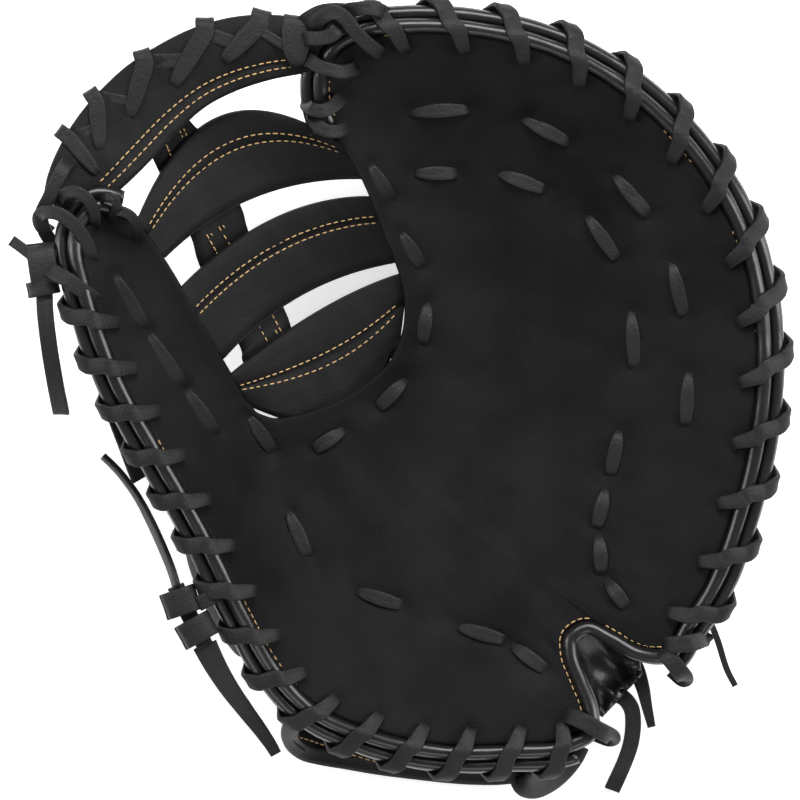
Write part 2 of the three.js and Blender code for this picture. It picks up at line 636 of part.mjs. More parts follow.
// The wrist strap: a band that hangs in a shallow curve under the heel.
function wristStrap() {
  const places = strapTable.map((row, i) => i);
  const x = column(strapTable, 0).map((share) => share * mittWidth);
  const low = column(strapTable, 2).map((share) => share * mittLength);
  const high = column(strapTable, 3).map((share) => share * mittLength);
  const z = column(strapTable, 1).map((share, i) => (
    share === null ? heightOf([palmShell], x[i], high[i], false) - gap - 0.7 * strapThick : share * mittHeight));
  const line = [x, z, low, high].map((values) => curve(places, values));
  const count = 28;
  return loft(spread(count).map((share) => {
    const p = share * (places.length - 1);
    const [here, height, edgeLow, edgeHigh] = line.map((value) => value(p));
    const step = 0.02;
    const dx = line[0](p + step) - line[0](p - step);
    const dz = line[1](p + step) - line[1](p - step);
    const size = Math.hypot(dx, dz);
    const inX = (-dz / size) * strapThick;
    const inZ = (dx / size) * strapThick;
    const ends = Math.max(height, 0);
    return [
      new THREE.Vector3(here, edgeLow, ends),
      new THREE.Vector3(here, edgeHigh, ends),
      new THREE.Vector3(here + inX, edgeHigh, ends + inZ),
      new THREE.Vector3(here + inX, edgeLow, ends + inZ),
    ];
  }));
}

// A tapered strip of lace along a route from its exit. The side is its width direction.
function strip(exit, route, side, widths, thick) {
  const sides = 8;
  const path = new THREE.CatmullRomCurve3(route.map((p) => new THREE.Vector3(...p).add(exit)));
  const count = route.length - 1;
  const direction = new THREE.Vector3(...side).normalize();
  return loft(spread(count).map((share, i) => {
    const at = path.getPoint(share);
    const travel = path.getTangent(share);
    const normal = travel.clone().cross(direction).normalize();
    const across = normal.clone().cross(travel).normalize();
    const width = lerp(widths[0], widths[1], i / count);
    return spread(sides).slice(0, sides).map((turn) => {
      const angle = (turn + 0.5 / sides) * 2 * Math.PI;
      const fill = 0.95;
      return at.clone()
        .addScaledVector(across, (Math.cos(angle) * width) / 2 / fill)
        .addScaledVector(normal, (Math.sin(angle) * thick) / 2 / fill);
    });
  }));
}

// A point near a knot that lies beside the rim: out, along and up from the middle of the knot.
function knotPoint(knot, out, along, up) {
  const r = rim(knot.t);
  const middle = rimPoint(knot.t, knot.out, knot.up);
  const offset = new THREE.Vector3(r.outX * out + r.alongX * along, r.outY * out + r.alongY * along, up);
  return middle.add(offset);
}

// A block with cut corners, for a knot of lace.
function knotBlock(knot) {
  const rings = [[-0.5, 0.7], [-0.3, 1], [0.3, 1], [0.5, 0.7]];
  return loft(rings.map(([along, fill]) => spread(8).slice(0, 8).map((share) => {
    const angle = (share + 1 / 16) * 2 * Math.PI;
    const reach = 0.54 * fill;
    return knotPoint(
      knot, Math.cos(angle) * reach * knotWide, along * knot.long, Math.sin(angle) * reach * knotThick);
  })));
}

// A strap end that lies behind the rim, under the turns of lace.
function strapEnd(from, to, inner) {
  const under = rearDrop + rearReach + (laceWidth / 2) * Math.sin(rearLean) + laceThick + 2 * gap;
  return loft(rimSteps(from, to, 8).map((t) => [
    rimPoint(t, inner, -under),
    rimPoint(t, inner + strapEndWidth, -under),
    rimPoint(t, inner + strapEndWidth, -under - strapThick),
    rimPoint(t, inner, -under - strapThick),
  ]));
}

// Booleans
const wasm = await Module();
wasm.setup();

function toSolid(geometry) {
  const merged = mergeVertices(geometry, 1e-4);
  return new wasm.Manifold(new wasm.Mesh({
    numProp: 3,
    vertProperties: new Float32Array(merged.attributes.position.array),
    triVerts: new Uint32Array(merged.index.array),
  }));
}

function toGeometry(solid) {
  const mesh = solid.getMesh();
  const geometry = new THREE.BufferGeometry();
  geometry.setAttribute('position', new THREE.BufferAttribute(mesh.vertProperties, 3));
  geometry.setIndex(new THREE.BufferAttribute(mesh.triVerts, 1));
  return geometry;
}

// Leather with a passage cut through it wherever a lace runs in it or leans against it.
function pierced(geometry, laces) {
  const cuts = laces.flatMap((points) => {
    const rings = bandRings(points, laceClearance);
    return rings.slice(1).map((ring, i) => toSolid(loft([rings[i], ring])));
  });
  return toGeometry(toSolid(geometry).subtract(wasm.Manifold.union(cuts)));
}

// A bar pared where it goes in between the palm and the back.
function pared(bar) {
  const over = toSolid(palmShell).translate([0, 0, -gap]);
  const under = wasm.Manifold.union([toSolid(backFingersShell), toSolid(backThumbShell)]);
  return toGeometry(toSolid(bar).subtract(over).subtract(under.translate([0, 0, gap])));
}

// The assembly
const mitt = new THREE.Group();

function add(name, geometry, finish) {
  const flat = geometry.toNonIndexed();
  flat.computeVertexNormals();
  const mesh = new THREE.Mesh(flat, new THREE.MeshStandardMaterial(finish));
  mesh.name = name;
  mitt.add(mesh);
}

const wrapStart = knotOf('index tip right');
const wrapEnd = knotOf('notch shoulder');
const cornerTop = knotOf('index tip left') - laceWidth;
const thumbCorner = knotOf('thumb corner end') - laceWidth;
const thumbTurns = evenTurns(knotOf('heel right'), knotOf('thumb tip low'), thumbWraps);
const rimLaces = {
  rim_lace_fingers: rimLace(evenTurns(wrapEnd, wrapStart, fingerWraps)),
  corner_lace: rimLace(evenTurns(cornerTop, knotOf('web corner side'), 2)),
  rim_lace_thumb: rimLace(thumbTurns),
  thumb_top_lace: rimLace(evenTurns(knotOf('thumb tip left'), thumbCorner, 3)),
};
const palmLaces = Object.fromEntries(
  Object.entries(pocketLaces).map(([name, strips]) => [name, pocketLace(strips)]));
const topLace = topBarLace();
for (const [name, points] of Object.entries({ ...rimLaces, ...palmLaces, web_top_lace: topLace })) {
  add(name, band(points), rawhide);
}

const rimPassages = Object.values(rimLaces);
add('palm', pierced(palmShell, [...rimPassages, ...Object.values(palmLaces)]), leather);
add('back_fingers', pierced(backFingersShell, rimPassages), leather);
add('back_thumb', pierced(backThumbShell, rimPassages), leather);

const rolls = {
  front_roll_fingers: roll(0, fingersEnd - gap, 0, 0, rollRadius),
  notch_binding: roll(fingersEnd + gap, heelStart - gap, 0, 0, rollRadius),
  front_roll_thumb: roll(heelStart + gap, rimEnd, 0, 0, rollRadius),
  rear_roll_fingers: roll(0, fingersEnd - gap, rearOut, rearDrop, rollRadius),
  rear_roll_thumb: roll(knotOf('heel right'), rimEnd, rearOut, rearDrop, rollRadius),
};
for (const [name, geometry] of Object.entries(rolls)) {
  add(name, pierced(geometry, rimPassages), glossyLeather);
}
add('notch_gusset', notchGusset(), glossyLeather);

const topBar = webBar(webRow('top bar top'), webRow('top bar low'), false);
add('web_top_bar', pierced(topBar, [topLace]), leather);
add('web_bar_2', pared(webBar(webRow('second bar top'), webRow('second bar low'), true)), leather);
add('web_bar_3', pared(webBar(webRow('third bar top'), webRow('third bar low'), true)), leather);
add('web_bar_4', pared(webBar(webRow('fourth bar top'), webRow('fourth bar low'), true)), leather);
add('web_post', webPost(), leather);

add('wrist_strap', wristStrap(), leather);

// Knots and ends
const webKnot = {
  t: knotOf('thumb tip') + knotLong / 3,
  out: rearOut + rollRadius + gap + knotWide / 2,
  up: -rearDrop,
  long: knotLong,
};
const thumbKnot = {
  t: lerp(thumbTurns[8], thumbTurns[9], 0.1),
  out: rearOut + rearReach + laceThick / 4 + knotWide / 2,
  up: -rearDrop,
  long: 1.45 * knotLong,
};
const webExit = knotPoint(webKnot, 0, -webKnot.long / 2 - 2 * gap, 0);
const upperExit = knotPoint(thumbKnot, 0, thumbKnot.long / 2 + gap, 0);
const lowerExit = knotPoint(thumbKnot, 0, -thumbKnot.long / 2 - gap, 0);
add('web_knot', knotBlock(webKnot), rawhide);
add('web_tail', strip(webExit, webTailRoute, [1, 0.1, 0.3], [laceWidth, laceWidth], laceThick), rawhide);
add('thumb_knot', knotBlock(thumbKnot), rawhide);
add('thumb_tail_upper', strip(upperExit, thumbTailUpperRoute, [0.3, 0.2, 1], [laceWidth, 4], laceThick), rawhide);
add('thumb_tail_lower', strip(lowerExit, thumbTailLowerRoute, [1, 0.5, 0.2], [9, 4], laceThick), rawhide);
add('thumb_strap_end', strapEnd(knotOf('thumb middle') - 10, knotOf('thumb high') + 6, 3.5), leather);

// The origin is on the ground, under the middle of everything but the free lace ends.
const free = ['web_tail', 'thumb_tail_upper', 'thumb_tail_lower'];
const reach = new THREE.Box3();
mitt.children.filter((mesh) => !free.includes(mesh.name)).forEach((mesh) => reach.expandByObject(mesh));
const centre = reach.getCenter(new THREE.Vector3());
mitt.position.set(-centre.x, -centre.y, -reach.min.z);

export default mitt;
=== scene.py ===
# A first baseman mitt of black leather, lying palm up on a plain pale floor.
# Shapes are worked out in millimetres from the middle of the mitt and turned to metres when a
# piece is made. The sections follow the mitt from its loose ends to the palm, rim and web.
from math import cos, sin, pi

import bpy
import numpy as np
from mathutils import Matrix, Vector


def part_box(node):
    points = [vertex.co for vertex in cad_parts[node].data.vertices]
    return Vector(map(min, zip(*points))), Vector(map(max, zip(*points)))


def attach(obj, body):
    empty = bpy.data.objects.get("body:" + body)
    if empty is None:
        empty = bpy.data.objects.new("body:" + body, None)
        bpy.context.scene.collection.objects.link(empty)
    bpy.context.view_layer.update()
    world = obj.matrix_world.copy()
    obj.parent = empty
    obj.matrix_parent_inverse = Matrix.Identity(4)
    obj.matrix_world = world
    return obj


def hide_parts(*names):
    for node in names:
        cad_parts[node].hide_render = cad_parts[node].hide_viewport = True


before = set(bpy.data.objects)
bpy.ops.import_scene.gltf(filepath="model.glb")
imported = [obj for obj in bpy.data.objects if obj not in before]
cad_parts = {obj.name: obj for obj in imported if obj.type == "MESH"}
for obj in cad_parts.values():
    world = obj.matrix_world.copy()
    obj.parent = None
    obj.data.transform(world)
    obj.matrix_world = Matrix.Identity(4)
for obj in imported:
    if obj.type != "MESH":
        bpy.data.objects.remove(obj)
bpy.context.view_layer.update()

# Camera: straight above the palm through a very long lens, as for a catalogue picture.
# One pixel of the 800 pixel frame is 0.36 mm at the height of the rim.
PIXEL = 0.36
PICTURE_MIDDLE = np.array([420.5, 391])  # the pixel over the middle of the mitt
FRAME_PIXELS = 800
LENS = 500
SENSOR = 36
RIM_HEIGHT = 0.075
CAMERA_SHIFT = (-0.0026, -0.0033)  # puts the mitt where it lies in the picture
camera_data = bpy.data.cameras.new("camera")
camera_data.lens = LENS
camera_data.sensor_width = SENSOR
camera_data.clip_end = 100
camera = bpy.data.objects.new("camera", camera_data)
camera_rise = LENS / SENSOR * FRAME_PIXELS * PIXEL / 1000
camera.location = (*CAMERA_SHIFT, RIM_HEIGHT + camera_rise)
bpy.context.collection.objects.link(camera)
bpy.context.scene.camera = camera

# Loose ends of lace: flat waxed rawhide, cut square or to a taper. Stiff and springy, they
# keep the bend that the knots give them. Three follow the routes of the model's own ends, and
# the one at the heel is in this scene alone.
LACE_WIDTH = 6
LACE_THICK = 1.8
PALM_MIDDLE = (0, 0.13, 61)  # the middle of the palm's box, from the middle of the mitt
palm_low, palm_high = (np.array(corner) * 1000 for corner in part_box("palm"))
MIDDLE = (palm_low + palm_high) / 2 - PALM_MIDDLE


def linear(code):
    """An sRGB hex colour as the linear colour that a shader takes."""
    parts = [int(code[i:i + 2], 16) / 255 for i in (1, 3, 5)]
    return [p / 12.92 if p <= 0.04045 else ((p + 0.055) / 1.055) ** 2.4 for p in parts] + [1]


def add(tree, kind, inputs=None, **settings):
    """A shader or geometry node with its settings, values and links."""
    made = tree.nodes.new(kind)
    for name, value in settings.items():
        setattr(made, name, value)
    for name, value in (inputs or {}).items():
        if isinstance(value, bpy.types.NodeSocket):
            tree.links.new(value, made.inputs[name])
        else:
            made.inputs[name].default_value = value
    return made


def leather(name, dark, light, rough, grain, depth, gloss, coat=0.0):
    """Leather with pebbled grain of that size and depth in millimetres."""
    material = bpy.data.materials.new(name)
    material.use_nodes = True
    tree = material.node_tree
    shader = tree.nodes["Principled BSDF"]
    place = add(tree, "ShaderNodeTexCoord").outputs["Object"]
    cloud = add(tree, "ShaderNodeTexNoise", {"Vector": place, "Scale": 38, "Detail": 5})
    ramp = add(tree, "ShaderNodeValToRGB", {"Fac": cloud.outputs["Fac"]})
    ramp.color_ramp.elements[0].position = 0.32
    ramp.color_ramp.elements[0].color = linear(dark)
    ramp.color_ramp.elements[1].position = 0.72
    ramp.color_ramp.elements[1].color = linear(light)
    tree.links.new(ramp.outputs["Color"], shader.inputs["Base Color"])
    pebble = add(tree, "ShaderNodeTexVoronoi", {"Vector": place, "Scale": 1000 / grain})
    pore = add(tree, "ShaderNodeTexNoise", {"Vector": place, "Scale": 2200 / grain, "Detail": 3})
    crease = add(tree, "ShaderNodeTexNoise", {"Vector": place, "Scale": 210, "Detail": 6})
    low = add(tree, "ShaderNodeMath", {0: pebble.outputs["Distance"], 1: 0.9}, operation="MULTIPLY")
    fine = add(tree, "ShaderNodeMath", {0: pore.outputs["Fac"], 1: low.outputs["Value"]})
    tall = add(tree, "ShaderNodeMath", {0: crease.outputs["Fac"], 1: fine.outputs["Value"]})
    bump = add(tree, "ShaderNodeBump", {
        "Height": tall.outputs["Value"], "Distance": depth / 1000, "Strength": 0.9})
    tree.links.new(bump.outputs["Normal"], shader.inputs["Normal"])
    worn = add(tree, "ShaderNodeMapRange", {
        "Value": crease.outputs["Fac"], "To Min": rough - 0.07, "To Max": rough + 0.09})
    tree.links.new(worn.outputs["Result"], shader.inputs["Roughness"])
    shader.inputs["IOR"].default_value = 1.5
    shader.inputs["Specular IOR Level"].default_value = gloss
    shader.inputs["Coat Weight"].default_value = coat
    shader.inputs["Coat Roughness"].default_value = 0.22
    return material


# Waxed rawhide lace: smooth and a little waxy, so it shines more than the palm.
rawhide = leather("waxed_rawhide", "#1b1b1c", "#272628", 0.48, 1.1, 0.14, 0.26)


def placed(points):
    """Points of the mitt in millimetres, as points of the frame in metres."""
    return (np.asarray(points, float) + MIDDLE) / 1000


def show(name, bodies, finish, ends):
    """A piece of one or more bodies, each through closed rings of points. Its ends are closed by
    a flat face ('round'), or by a strip between the two halves of a folded wall ('strip')."""
    spots, faces = [], []
    for rows in bodies:
        rows = np.asarray(rows, float)
        count, size = rows.shape[:2]
        first = sum(len(part) for part in spots)
        last = first + (count - 1) * size
        for i in range(first, last, size):
            for j in range(size):
                k = (j + 1) % size
                faces.append((i + j, i + k, i + size + k, i + size + j))
        if ends == "round":
            faces.append(tuple(range(first + size - 1, first - 1, -1)))
            faces.append(tuple(range(last, last + size)))
        if ends == "strip":
            for j in range(size // 2 - 1):
                mate = size - 1 - j
                faces.append((first + j + 1, first + j, first + mate, first + mate - 1))
                faces.append((last + j, last + j + 1, last + mate - 1, last + mate))
        flat = rows.reshape(-1, 3)
        spots.append(flat)
    mesh = bpy.data.meshes.new(name)
    mesh.from_pydata(placed(np.vstack(spots)).tolist(), [], faces)
    mesh.materials.append(finish)
    mesh.shade_smooth()
    if mesh_volume(mesh) < 0:
        mesh.flip_normals()
    piece = bpy.data.objects.new(name, mesh)
    bpy.context.collection.objects.link(piece)
    return piece


def mesh_volume(mesh):
    """The signed volume inside a mesh: below zero if its faces look inwards."""
    mesh.calc_loop_triangles()
    spots = np.empty(len(mesh.vertices) * 3)
    mesh.vertices.foreach_get("co", spots)
    corners = np.empty(len(mesh.loop_triangles) * 3, int)
    mesh.loop_triangles.foreach_get("vertices", corners)
    a, b, c = spots.reshape(-1, 3)[corners.reshape(-1, 3)].transpose(1, 0, 2)
    return np.einsum("ij,ij->i", a, np.cross(b, c)).sum() / 6


def crowded(count):
    """Shares from 0 to 1 that lie closer together near both ends."""
    return 0.5 - 0.5 * np.cos(np.linspace(0, pi, count))


def two_faces(shares, thick):
    """Shares across a thin wall with the depth under its face: out on the face, then back behind."""
    return [(f, 0) for f in shares] + [(f, thick) for f in shares[::-1]]


def unit(v):
    return v / np.maximum(np.linalg.norm(v, axis=-1, keepdims=True), 1e-9)


def in_plan(x, y):
    """The place in millimetres under a pixel of the picture."""
    return (x - PICTURE_MIDDLE[0]) * PIXEL, (PICTURE_MIDDLE[1] - y) * PIXEL


def smooth_line(points, step):
    """A smooth line through points of any number of values, with even steps along it."""
    points = np.asarray(points, float)
    padded = np.vstack([2 * points[0] - points[1], points, 2 * points[-1] - points[-2]])
    pieces = []
    for a, b, c, d in zip(padded, padded[1:], padded[2:], padded[3:]):
        count = max(1, int(round(np.linalg.norm(c[:3] - b[:3]) / step)))
        s = (np.arange(count) / count)[:, None]
        pieces.append(0.5 * (2 * b + (c - a) * s + (2 * a - 5 * b + 4 * c - d) * s ** 2
                             + (3 * b - a - 3 * c + d) * s ** 3))
    return np.vstack(pieces + [points[-1:]])


# The corners of a flat lace's section, with its cut edges a little worn: across, through
LACE_SECTION = np.array([
    (1, 0.55), (0.97, 0.85), (0.88, 1), (0.4, 0.9), (0, 0.86), (-0.4, 0.9), (-0.88, 1), (-0.97, 0.85),
    (-1, 0.55), (-1, -0.55), (-0.97, -0.85), (-0.88, -1), (0, -1), (0.88, -1), (0.97, -0.85), (1, -0.55),
])


def lace_rings(points, sides, widths, thicks, step=1.1):
    """Rings of a flat lace with crisp edges, its middle a little hollow like cut rawhide."""
    line = smooth_line(np.column_stack([points, sides, widths, thicks]), step)
    at, side, width, thick = line[:, :3], line[:, 3:6], line[:, 6], line[:, 7]
    travel = unit(np.gradient(at, axis=0))
    normal = unit(np.cross(travel, side))
    across = np.cross(normal, travel)
    wide, high = LACE_SECTION.T
    rings = (at[:, None] + across[:, None] * wide[None, :, None] * width[:, None, None] / 2
             + normal[:, None] * high[None, :, None] * thick[:, None, None] / 2)
    return rings, at


def laid(route, width=LACE_WIDTH, thick=LACE_THICK, step=1.1):
    """Rings of a lace laid along a given route. Its route gives pixels of the picture and a height in mm.
    """
    points = np.array([(*in_plan(x, y), z) for x, y, z in route], float)
    widths = np.broadcast_to(width, len(points))
    reach = np.gradient(points[:, :2], axis=0)
    heading = unit(np.vstack([reach[:1], reach[:-2] + reach[1:-1] + reach[2:], reach[-1:]]))
    sides = np.column_stack([-heading[:, 1], heading[:, 0], np.zeros(len(points))])
    return lace_rings(points, sides, widths, np.full(len(points), thick), step)[0]


WEB_EXIT = (-134.9, 33.2, 89.8)
WEB_TAIL = [
    (0, 0, 0), (0.1, -3.2, -0.2), (0.4, -7.2, -0.7), (0.8, -11.2, -1.5), (1.3, -15.2, -2.7),
    (1.8, -19.2, -4.2), (2.4, -23.2, -6.1), (3, -27.2, -8.4), (3.6, -31, -11.1), (4.2, -34.6, -14.1),
    (4.8, -38, -17.5), (5.3, -41.1, -21.2),
]
UPPER_EXIT = (-88.0, -70.8, 66.5)
THUMB_TAIL_UPPER = [
    (0, 0, 0), (-0.9, 3.3, -0.6), (-2.3, 7.3, -2.4), (-4.1, 11.6, -5.4), (-6.1, 16, -9.4),
    (-8.2, 20.4, -13.8), (-10.4, 24.7, -18), (-12.7, 29, -21.6), (-15.2, 33.2, -24),
    (-18, 37.1, -25.4), (-20.9, 40.8, -26.4), (-24.1, 44.2, -27), (-27.3, 47.2, -27.2),
]
LOWER_EXIT = (-77.8, -91.6, 66.5)
THUMB_TAIL_LOWER = [
    (0, 0, 0), (1.5, -3.2, -1), (3.4, -7, -3.4), (5.6, -11, -6.8), (8, -15, -10.6),
    (10.5, -18.8, -14.4), (13.1, -22.4, -17.8), (15.7, -26, -20.6), (18.4, -29.6, -22.8),
    (21, -33.2, -24.2), (23.4, -36.8, -25.2), (25.4, -40.2, -25.5),
]
HEEL_EXIT = (72.5, -111, 22)
HEEL_TAIL = [
    (0, 0, 0), (2.5, -1.6, 0.3), (4.7, -5.4, -1.5), (5.2, -11, -4.5), (4.5, -17.5, -8.5),
    (2.7, -23.5, -12.5), (0.4, -29.2, -16.5), (-2.2, -35, -19),
]
loose_ends = {
    # name: exit from the knot, route from it, width direction, width at the knot and at the end
    "web_tail": (WEB_EXIT, WEB_TAIL, (1, 0.1, 0.3), LACE_WIDTH, LACE_WIDTH),
    "thumb_tail_upper": (UPPER_EXIT, THUMB_TAIL_UPPER, (0.3, 0.2, 1), LACE_WIDTH, 4),
    "thumb_tail_lower": (LOWER_EXIT, THUMB_TAIL_LOWER, (1, 0.5, 0.2), 9, 4),
    "heel_tail": (HEEL_EXIT, HEEL_TAIL, (1, 0.3, 0.1), 5.8, 5.8),
}
for name, (start, route, side, first, last) in loose_ends.items():
    route = np.array(route) + start
    shares = np.linspace(0, 1, len(route))
    rings, line = lace_rings(
        route, np.tile(side, (len(route), 1)), first + (last - first) * shares,
        np.full(len(route), LACE_THICK))
    loose_end = show(f"{name}_lace", [rings], rawhide, "round")
    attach(loose_end, "root")
    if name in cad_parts:
        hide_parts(name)

# Palm: one horseshoe of steerhide with felt padding behind it, from the index finger's tip round
# the heel to the thumb's tip. A ball has pressed the pocket into it, and it is matte and fine
# grained. Its sections start at the web and end at the rim, as in the model.
MITT_WIDTH = 248
MITT_LENGTH = 262
MITT_HEIGHT = 95
PALM_WALL = 3
PALM_PAD = 3.4
SECTIONS = [
    # name, webX, webY, webZ, rimX, rimY, rimZ, dish, stall
    ("web corner low", -0.117, 0.343, 0.80, -0.131, 0.359, 0.82, 0, 0.08),
    ("web corner side", -0.114, 0.339, 0.79, -0.144, 0.4, 0.85, 0, 0.11),
    ("web corner", -0.11, 0.332, 0.78, -0.143, 0.438, 0.88, 0.01, 0.15),
    ("index tip left", -0.105, 0.324, 0.77, -0.121, 0.474, 0.91, 0.02, 0.19),
    ("index tip", -0.098, 0.313, 0.75, -0.08, 0.494, 0.92, 0.03, 0.24),
    ("index tip right", -0.089, 0.298, 0.73, -0.025, 0.5, 0.93, 0.05, 0.29),
    ("middle tip left", -0.07, 0.258, 0.67, 0.086, 0.495, 0.93, 0.08, 0.34),
    ("middle tip", -0.054, 0.218, 0.63, 0.202, 0.467, 0.91, 0.11, 0.34),
    ("middle tip right", -0.038, 0.18, 0.58, 0.319, 0.402, 0.88, 0.13, 0.34),
    ("ring tip", -0.025, 0.139, 0.53, 0.406, 0.317, 0.84, 0.14, 0.34),
    ("ring side", -0.024, 0.1, 0.5, 0.464, 0.224, 0.81, 0.14, 0.36),
    ("little tip", -0.031, 0.069, 0.48, 0.494, 0.118, 0.77, 0.14, 0.36),
    ("little side", -0.044, 0.043, 0.47, 0.5, 0.029, 0.74, 0.13, 0.36),
    ("little base", -0.065, 0.021, 0.46, 0.49, -0.071, 0.69, 0.12, 0.36),
    ("palm edge", -0.088, 0.004, 0.45, 0.465, -0.17, 0.65, 0.11, 0.36),
    ("palm edge low", -0.11, -0.008, 0.45, 0.426, -0.271, 0.61, 0.09, 0.34),
    ("notch shoulder", -0.124, -0.015, 0.44, 0.391, -0.324, 0.57, 0.08, 0.29),
    ("notch right", -0.134, -0.019, 0.44, 0.359, -0.366, 0.54, 0.07, 0.23),
    ("notch right in", -0.143, -0.022, 0.44, 0.319, -0.363, 0.51, 0.06, 0.19),
    ("notch top right", -0.152, -0.025, 0.44, 0.278, -0.342, 0.49, 0.06, 0.17),
    ("notch top", -0.159, -0.027, 0.44, 0.243, -0.328, 0.47, 0.06, 0.17),
    ("notch tip", -0.166, -0.03, 0.44, 0.221, -0.341, 0.47, 0.06, 0.17),
    ("notch left", -0.173, -0.032, 0.44, 0.22, -0.364, 0.47, 0.06, 0.17),
    ("notch left low", -0.181, -0.033, 0.45, 0.234, -0.401, 0.47, 0.06, 0.17),
    ("heel corner", -0.188, -0.034, 0.45, 0.25, -0.443, 0.48, 0.06, 0.17),
    ("heel corner low", -0.194, -0.036, 0.45, 0.25, -0.472, 0.49, 0.06, 0.17),
    ("heel right", -0.2, -0.037, 0.45, 0.221, -0.489, 0.49, 0.06, 0.17),
    ("heel", -0.207, -0.037, 0.45, 0.13, -0.499, 0.48, 0.07, 0.17),
    ("heel middle", -0.216, -0.037, 0.46, 0.028, -0.499, 0.48, 0.08, 0.17),
    ("heel left", -0.227, -0.034, 0.47, -0.073, -0.478, 0.52, 0.08, 0.19),
    ("thumb base low", -0.239, -0.029, 0.49, -0.16, -0.44, 0.57, 0.07, 0.27),
    ("thumb base", -0.247, -0.021, 0.52, -0.216, -0.383, 0.63, 0.06, 0.44),
    ("thumb side", -0.258, -0.01, 0.55, -0.258, -0.312, 0.71, 0.04, 0.46),
    ("thumb side high", -0.279, 0.029, 0.62, -0.32, -0.192, 0.8, 0.03, 0.38),
    ("thumb middle", -0.31, 0.078, 0.69, -0.393, -0.07, 0.88, 0.02, 0.32),
    ("thumb high", -0.33, 0.113, 0.74, -0.436, 0.004, 0.93, 0.02, 0.29),
    ("thumb tip low", -0.352, 0.151, 0.78, -0.47, 0.084, 0.96, 0.02, 0.27),
    ("thumb tip", -0.374, 0.185, 0.83, -0.491, 0.152, 0.98, 0.01, 0.23),
    ("thumb tip left", -0.39, 0.207, 0.86, -0.5, 0.196, 0.98, 0.01, 0.17),
    ("thumb corner", -0.398, 0.218, 0.88, -0.494, 0.229, 0.97, 0, 0.13),
    ("thumb corner top", -0.406, 0.227, 0.89, -0.47, 0.253, 0.96, 0, 0.08),
    ("thumb corner end", -0.411, 0.232, 0.89, -0.433, 0.247, 0.94, 0, 0.06),
]
# Running laces: each row is one strip from hole to hole, in shares of the width and the length.
POCKET_LACES = {
    "outer_lace": [
        (-0.015, 0.383, 0.069, 0.389), (0.149, 0.375, 0.217, 0.342),
        (0.282, 0.297, 0.333, 0.242), (0.366, 0.177, 0.384, 0.104),
        (0.391, 0.026, 0.387, -0.047)],
    "inner_lace": [
        (-0.008, 0.301, 0.053, 0.301), (0.115, 0.301, 0.181, 0.279),
        (0.243, 0.242, 0.287, 0.183), (0.308, 0.111, 0.313, 0.032),
        (0.291, -0.054, 0.278, -0.115), (0.271, -0.136, 0.258, -0.188),
        (0.261, -0.198, 0.265, -0.253), (0.271, -0.26, 0.301, -0.298)],
    "web_side_lace": [
        (-0.074, 0.312, -0.042, 0.264), (-0.028, 0.218, 0.002, 0.172),
        (0.011, 0.122, 0.002, 0.066), (-0.022, 0.015, -0.062, -0.023),
        (-0.112, -0.054, -0.157, -0.081)],
    "thumb_lace": [
        (-0.443, 0.159, -0.4, 0.087), (-0.396, 0.08, -0.346, 0.008),
        (-0.342, 0.003, -0.298, -0.058), (-0.25, -0.036, -0.216, -0.083),
        (-0.194, -0.166, -0.165, -0.229)],
    "heel_lace": [
        (-0.095, -0.277, -0.027, -0.297), (0.054, -0.326, 0.123, -0.345),
        (0.133, -0.351, 0.184, -0.386)],
}
# Folds pressed into the palm where the mitt closes, in shares of the width and the length.
CREASES = [
    # x0, y0, x1, y1, depth, width
    (0.18, -0.34, 0.203, -0.369, 1.1, 1.6),
    (0.24, -0.255, 0.283, -0.305, 1.2, 2.0),
    (0.15, -0.25, 0.215, -0.32, 0.8, 3.4),
    (-0.2, -0.16, -0.13, -0.29, 1.0, 5.5),
    (-0.1, -0.1, 0.1, -0.24, 0.7, 11),
    (-0.28, -0.02, -0.2, -0.2, 0.8, 7.5),
    (0.29, -0.1, 0.34, -0.22, 0.7, 6.0),
]


def in_shares(x, y):
    """The place in millimetres of a share of the mitt's width and one of its length."""
    return np.array([x * MITT_WIDTH, y * MITT_LENGTH])


def column(table, index, scale=1.0):
    return [row[index] * scale for row in table]


def curve(knots, values):
    """A smooth function through the values at the knots, the same as the model's."""
    knots = np.asarray(knots, float)
    values = np.asarray(values, float)
    rise = np.diff(values) / np.diff(knots)
    slopes = np.concatenate([rise[:1], np.zeros(len(values) - 2), rise[-1:]])
    share = (knots[1:-1] - knots[:-2]) / (knots[2:] - knots[:-2])
    slopes[1:-1] = rise[:-1] + (rise[1:] - rise[:-1]) * share

    def value(t):
        t = np.asarray(t, float)
        i = np.clip(np.searchsorted(knots, t, side="left") - 1, 0, len(knots) - 2)
        span = knots[i + 1] - knots[i]
        s = (t - knots[i]) / span
        start = (1 + 2 * s) * (1 - s) ** 2 * values[i] + s * (1 - s) ** 2 * span * slopes[i]
        end = s * s * (3 - 2 * s) * values[i + 1] + s * s * (s - 1) * span * slopes[i + 1]
        return start + end
    return value


rim_x = column(SECTIONS, 4, MITT_WIDTH)
rim_y = column(SECTIONS, 5, MITT_LENGTH)
rim_knots = np.concatenate([[0], np.cumsum(np.hypot(np.diff(rim_x), np.diff(rim_y)))])
palm = {
    "web_x": curve(rim_knots, column(SECTIONS, 1, MITT_WIDTH)),
    "web_y": curve(rim_knots, column(SECTIONS, 2, MITT_LENGTH)),
    "web_z": curve(rim_knots, column(SECTIONS, 3, MITT_HEIGHT)),
    "rim_x": curve(rim_knots, rim_x),
    "rim_y": curve(rim_knots, rim_y),
    "rim_z": curve(rim_knots, column(SECTIONS, 6, MITT_HEIGHT)),
    "dish": curve(rim_knots, column(SECTIONS, 7, MITT_HEIGHT)),
    "stall": curve(rim_knots, column(SECTIONS, 8, MITT_HEIGHT)),
}
KNOT_OF = {row[0]: knot for row, knot in zip(SECTIONS, rim_knots)}
RIM_END = rim_knots[-1]
